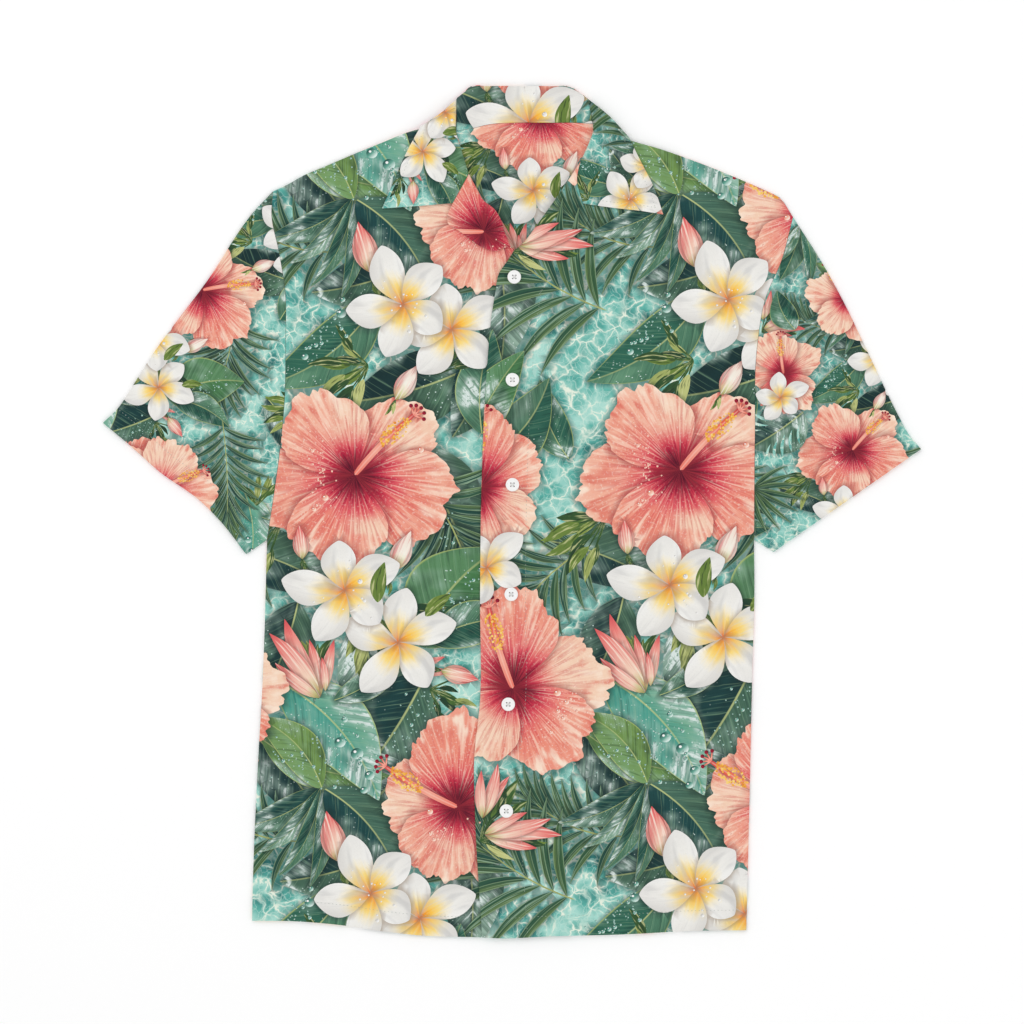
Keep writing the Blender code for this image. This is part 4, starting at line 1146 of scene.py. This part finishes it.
def stigma_cloth():
    g, x, y, _, _ = motif_graph("stigma")
    g.colour = g.ramp(x + y, (0.0, 150, 24, 48), (1.0, 96, 8, 28))
    return g.cloth()


def drop_cloth():
    g, x, y, tone, _ = motif_graph("drop")
    down = (x - y) * 0.4 + 0.5
    green = g.ramp(down, (0.1, 44, 92, 84), (0.5, 96, 160, 142), (0.95, 214, 236, 228))
    coral = g.ramp(down, (0.1, 206, 104, 86), (0.5, 244, 178, 154), (0.95, 255, 232, 216))
    clear = g.ramp(down, (0.1, 176, 172, 166), (0.5, 230, 228, 224), (0.95, 255, 255, 255))
    g.colour = g.mix(g.step(tone, 0.7, 0.8), g.mix(g.step(tone, 0.2, 0.3), green, coral), clear)
    x, y = x + 0.32, y - 0.34
    g.tint(g.step(x * x + y * y, 0.07, 0.03), 255, 255, 252)
    return g.cloth()


def mottled(name, scale, detail, low, high, **settings):
    """A material that wanders between two colours."""
    g = Graph(name)
    share = g.noise(g.node("TexCoord").outputs["Object"], scale, detail)
    return g.surface(g.ramp(share, (0.3, *low), (0.7, *high)), **settings)


def thread_cloth():
    return mottled("thread", 1800, 2.0, (150, 162, 152), (182, 190, 180), Roughness=0.6)


def button_plastic():
    return mottled("button_plastic", 420, 3.0, (247, 247, 246), (254, 254, 253), Roughness=0.3,
                   Coat_Weight=0.3, Coat_Roughness=0.15)


def button_thread():
    return mottled("button_thread", 2600, 2.0, (226, 226, 224), (242, 242, 240), Roughness=0.7)


def print_materials():
    """The materials of the print, in the order of KINDS."""
    return [water(), hibiscus_cloth(), stamen_cloth(), anther_cloth(), stigma_cloth(), plumeria_cloth(),
            leaf_cloth(), leaflet_cloth(), bract_cloth(), sprig_cloth(), drop_cloth(), thread_cloth()]


# ---------------------------------------------------------------- the pieces

TILE, SPARSE_TILE, CLOTHS = print_tile(), print_tile(sparse=True), print_materials()


def placed(name, data):
    made = bpy.data.objects.new(name, data)
    bpy.context.collection.objects.link(made)
    return made


def piece(name, node, parts, materials, sharp):
    """One mesh that stands for a node, of parts that each give points, faces and their materials."""
    starts = np.cumsum([0, *(len(part[0]) for part in parts[:-1])])
    points = np.vstack([part[0] for part in parts]) * MM
    faces = np.vstack([part[1] + start for part, start in zip(parts, starts)])
    kinds = np.concatenate([part[2] for part in parts]).astype(np.int32)
    mesh = bpy.data.meshes.new(name)
    mesh.from_pydata(points.tolist(), [], faces.tolist())
    mesh.polygons.foreach_set("material_index", kinds)
    mesh.polygons.foreach_set("use_smooth", np.ones(len(faces), bool))
    for material in materials:
        mesh.materials.append(material)
    mesh.set_sharp_from_angle(angle=math.radians(sharp))
    made = placed(name, mesh)
    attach(made, "root")
    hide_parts(node)
    return made


def panel(outline, skin, laid, lines=(), facing_up=True, thick=THIN, motifs=TILE):
    """A printed shell inside an outline, with its skin at the heights of a function of points."""
    outline = outline + inwards(outline) * (GAP / 2)
    sheet = printed(outline, laid_out(motifs, outline, laid), lines, laid)
    return shell(sheet, skin(sheet.points), facing_up, thick)


def flat_area(cloth):
    """The area of a shell's printed skin, in square metres."""
    points, faces = cloth[0][:, :2] * MM, cloth[1]
    outer = faces[faces.max(1) < len(points) // 2]
    return abs(signed_area(points[outer])).sum() / 2


def dress(node, panels, trims, rests_on):
    """One cloth piece of panels and rows of stitches."""
    parts = [*panels, *trims]
    made = piece(node + "_cloth", node, parts, CLOTHS, 50)
    fields = ("print", "FLOAT_VECTOR", "vector", 3), ("shade", "FLOAT", "value", 4)
    for name, kind, field, column in fields:
        values = np.vstack([part[column] for part in parts]).ravel().astype(np.float32)
        made.data.attributes.new(name, kind, "CORNER").data.foreach_set(field, values)
    sum(map(flat_area, panels))


def step_rows(line, depth):
    """Lines of points on each side of a step or groove beside a line."""
    return [beside(line, depth + away) for away in STEP_ROWS]


def plainer(motifs):
    """The print without its small beads and half of its anthers, for the largest panel."""
    return [motif for motif in motifs if (motif.kind != "drop" or motif.length > LEAST_DROP)
            and (motif.kind != "anther" or motif.tone > LEAST_ANTHER)]


def back():
    hem, outline, lining = smooth(HEM), enclosed(*BACK), enclosed(STAND_SEAM, *LINING_EDGES)
    rows, sewn = step_rows(hem, HEM_DEPTH - SEW_IN), beside(hem, HEM_DEPTH - SEW_IN)
    dress("back",
          [panel(outline, back_skin, BACK_PRINT, rows, False, motifs=plainer(TILE)),
           panel(lining, lining_skin, LINING_PRINT, thick=LINING_THICK)],
          [stitches(sewn, back_skin, outline, side=-1),
           stitches(smooth(STAND_SEAM) - (0, LINING_SEW), lining_skin, lining)],
          ["floor"])


def fronts():
    hem, edge = smooth(HEM), smooth(FRONT_EDGE)
    rows, sewn = step_rows(hem, HEM_DEPTH), beside(hem, HEM_DEPTH - SEW_IN)
    outline = enclosed(*RIGHT_FRONT)
    dress("right_front", [panel(outline, right_skin, RIGHT_PRINT, rows)],
          [stitches(sewn, right_skin, outline)], ["back_cloth"])
    outline = enclosed(*LEFT_FRONT)
    dress("left_front", [panel(outline, left_skin, LEFT_PRINT, rows + step_rows(edge, FACING_DEPTH))],
          [stitches(line, left_skin, outline) for line in (sewn, beside(edge, FACING_DEPTH - SEW_IN))],
          ["back_cloth", "right_front_cloth"])


def sleeve(name, tables, inward, laid):
    """A flattened tube; inward says on which side of the cuff's line the cloth lies."""
    outline, cuff = enclosed(*tables), smooth(tables[1])
    rows = step_rows(cuff, inward * HEM_DEPTH) + step_rows(cuff, inward * (HEM_DEPTH - SEW_IN))
    sewn, skins = beside(cuff, inward * (HEM_DEPTH - SEW_IN)), ((sleeve_skin, 1), (sleeve_underside, -1))
    dress(name, [panel(outline, skin, laid, rows, side > 0, motifs=SPARSE_TILE) for skin, side in skins],
          [stitches(sewn, skin, outline, side=side) for skin, side in skins], ["floor"])


def sleeves():
    sleeve("right_sleeve", (RIGHT_SLEEVE_TOP, RIGHT_CUFF, RIGHT_UNDERARM, RIGHT_ARMHOLE), 1,
           RIGHT_SLEEVE_PRINT)
    sleeve("left_sleeve", (LEFT_SLEEVE_TOP, LEFT_CUFF, LEFT_UNDERARM, LEFT_ARMHOLE), -1,
           LEFT_SLEEVE_PRINT)


def collar():
    panels, trims = [], []
    for neck, fold, edge, point, gorge, low, line, laid, away in (
            ((*RIGHT_ROLL[6:], *NECK_ROLL[1:3]), RIGHT_FOLD, RIGHT_LEAF, RIGHT_POINT, RIGHT_GORGE, over,
             FOLD_LINES[0], RIGHT_LEAF_PRINT, COLLAR_SEW),
            ((*LEFT_ROLL[4:], *NECK_ROLL[-2:-5:-1]), LEFT_FOLD, LEFT_LEAF, LEFT_POINT, LEFT_GORGE, lapped,
             FOLD_LINES[1], LEFT_LEAF_PRINT, -COLLAR_SEW)):
        outline, skin = enclosed(neck, fold, edge, point, gorge), leaf_skin(low, smooth(neck), line)
        panels.append(panel(outline, skin, laid, thick=LEAF_THICK))
        trims += [stitches(beside(smooth(rows), away), skin, outline, 4.4) for rows in (edge, point)]
    panels += [panel(enclosed(*UNDER_BACK), fall_skin, BACK_PRINT, facing_up=False),
               panel(enclosed(NECK_ROLL, STAND_SEAM), stand_skin, STAND_PRINT)]
    dress("collar", panels, trims, ["right_front_cloth", "left_front_cloth"])


def facings():
    for side, roll, gorge, edge, low, laid, flat in (
            ("right", RIGHT_ROLL[:7], RIGHT_GORGE, RIGHT_FACING, over, RIGHT_FACING_PRINT, (0.068, 0.072)),
            ("left", LEFT_ROLL[:5], LEFT_GORGE, LEFT_FACING, lapped, LEFT_FACING_PRINT, (0.082, 0.062))):
        outline = enclosed(roll, gorge, edge, (edge[-1], roll[0]))
        cloth = panel(outline, facing_skin(low, smooth(roll)), laid)
        dress(side + "_facing", [cloth], [], [side + "_front_cloth"])


def button_shape():
    """Points and faces of a button with a round rim, a dish and four holes."""
    rim = circle(BUTTON_RADIUS)
    spots = [(sx * HOLE_OFFSET, sy * HOLE_OFFSET) for sx in (-1, 1) for sy in (-1, 1)]
    holes = [circle(HOLE_RADIUS, spot, 14) for spot in spots]
    grid = lattice(rim, 0.9)
    flat, faces = triangles(
        [rim, *holes, *(circle(radius) for radius in BUTTON_RINGS)], [grid[edge_distance(grid, rim) > 0.5]],
        lambda middle: inside(middle, rim) & ~np.any([inside(middle, hole) for hole in holes], axis=0))
    radius = np.linalg.norm(flat, axis=1)
    sides = [np.column_stack([flat, np.interp(radius, *zip(*rows))]) for rows in (BUTTON_TOP, BUTTON_BOTTOM)]
    return np.vstack(sides), slab(faces, len(flat))[0]


def strand(start, end, lift, radius=0.34, sides=6, count=13):
    """A thread that comes up through one hole, crosses over and goes down through another."""
    start, end, share = np.array(start), np.array(end), np.linspace(0, 1, count)[:, None]
    path, height = start * (1 - share) + end * share, lift * np.sin(math.pi * share) ** 0.4 + 0.9
    along = (end - start) / np.linalg.norm(end - start)
    ring = circle(radius, count=sides)
    points = np.concatenate([
        np.column_stack([path[i] + ring[:, :1] * (-along[1], along[0]), height[i] + ring[:, 1]])
        for i in range(count)])
    index = np.arange(count * sides).reshape(count, sides)
    near, far = index[:-1], index[1:]
    quads = np.stack([near, np.roll(near, -1, 1), np.roll(far, -1, 1), far], 2).reshape(-1, 4)
    caps = [face for i in range(1, sides - 1)
            for face in ((0, i, i + 1), (index[-1, 0], index[-1, i + 1], index[-1, i]))]
    return points, np.vstack([quads[:, [0, 1, 2]], quads[:, [0, 2, 3]], caps])


def buttons():
    shapes = [button_shape()]
    for sx in (-1, 1):
        for away in (-THREAD_SLIP, THREAD_SLIP):
            shapes.append(strand((sx * HOLE_OFFSET + away, -HOLE_OFFSET + sx * away),
                                 (-sx * HOLE_OFFSET + away, HOLE_OFFSET + sx * away), 1.5 + 0.35 * (sx > 0)))
    materials = [button_plastic(), button_thread()]
    for number, (x, y) in enumerate(BUTTONS, 1):
        spots = np.vstack([circle(BUTTON_RADIUS, (x, y), 24), (x, y)])
        base = lapped(spots).max() + CLOTH + GAP
        parts = [(points + (x, y, base), faces, np.full(len(faces), min(1, order)))
                 for order, (points, faces) in enumerate(shapes)]
        piece(f"shirt_button_{number}", f"button_{number}", parts, materials, 40)


# ---------------------------------------------------------------- camera and studio

CAMERA_PLACE, SENSOR = (0.0, 0.00013, 5.0), 36.0
ACROSS = 0.90112  # width of the photograph's frame, in metres
SKY, GLOW = 0.79, 0.05  # strength of the world's light, and of the floor's own
FLOOR_REACH, FLOOR_LEVEL = 4, -0.0005
LAMPS = (("key", (-0.9, 1.1, 1.9), 1.6, 9.0), ("fill", (1.2, -0.8, 1.8), 1.8, 5.0))
WHITE = (1.0, 1.0, 1.0, 1.0)


def camera():
    """Straight above the shirt, as in the photograph."""
    data = bpy.data.cameras.new("camera")
    data.sensor_width = SENSOR
    data.lens = SENSOR * CAMERA_PLACE[2] / ACROSS
    made = placed("camera", data)
    made.location = CAMERA_PLACE
    bpy.context.scene.camera = made


def light():
    world = bpy.data.worlds.new("studio")
    bpy.context.scene.world = world
    world.use_nodes = True
    background = world.node_tree.nodes["Background"]
    background.inputs[0].default_value, background.inputs[1].default_value = WHITE, SKY
    for name, spot, size, power in LAMPS:
        data = bpy.data.lights.new(name, "AREA")
        data.size, data.energy = size, power
        lamp = placed(name, data)
        lamp.location = spot
        lamp.rotation_mode = "QUATERNION"
        lamp.rotation_quaternion = (-Vector(spot)).to_track_quat("-Z", "Y")


def floor():
    mesh = bpy.data.meshes.new("floor")
    corners = [(sx * FLOOR_REACH, sy * FLOOR_REACH, 0) for sx, sy in ((-1, -1), (1, -1), (1, 1), (-1, 1))]
    mesh.from_pydata(corners, [], [(0, 1, 2, 3)])
    mesh.materials.append(Graph("floor").surface(WHITE, Emission_Color=WHITE, Emission_Strength=GLOW,
                                                 Roughness=0.9))
    made = placed("floor", mesh)
    made.location.z = FLOOR_LEVEL


back()
fronts()
sleeves()
collar()
facings()
buttons()
camera()
light()
floor()
bpy.context.scene.view_settings.view_transform = "Standard"
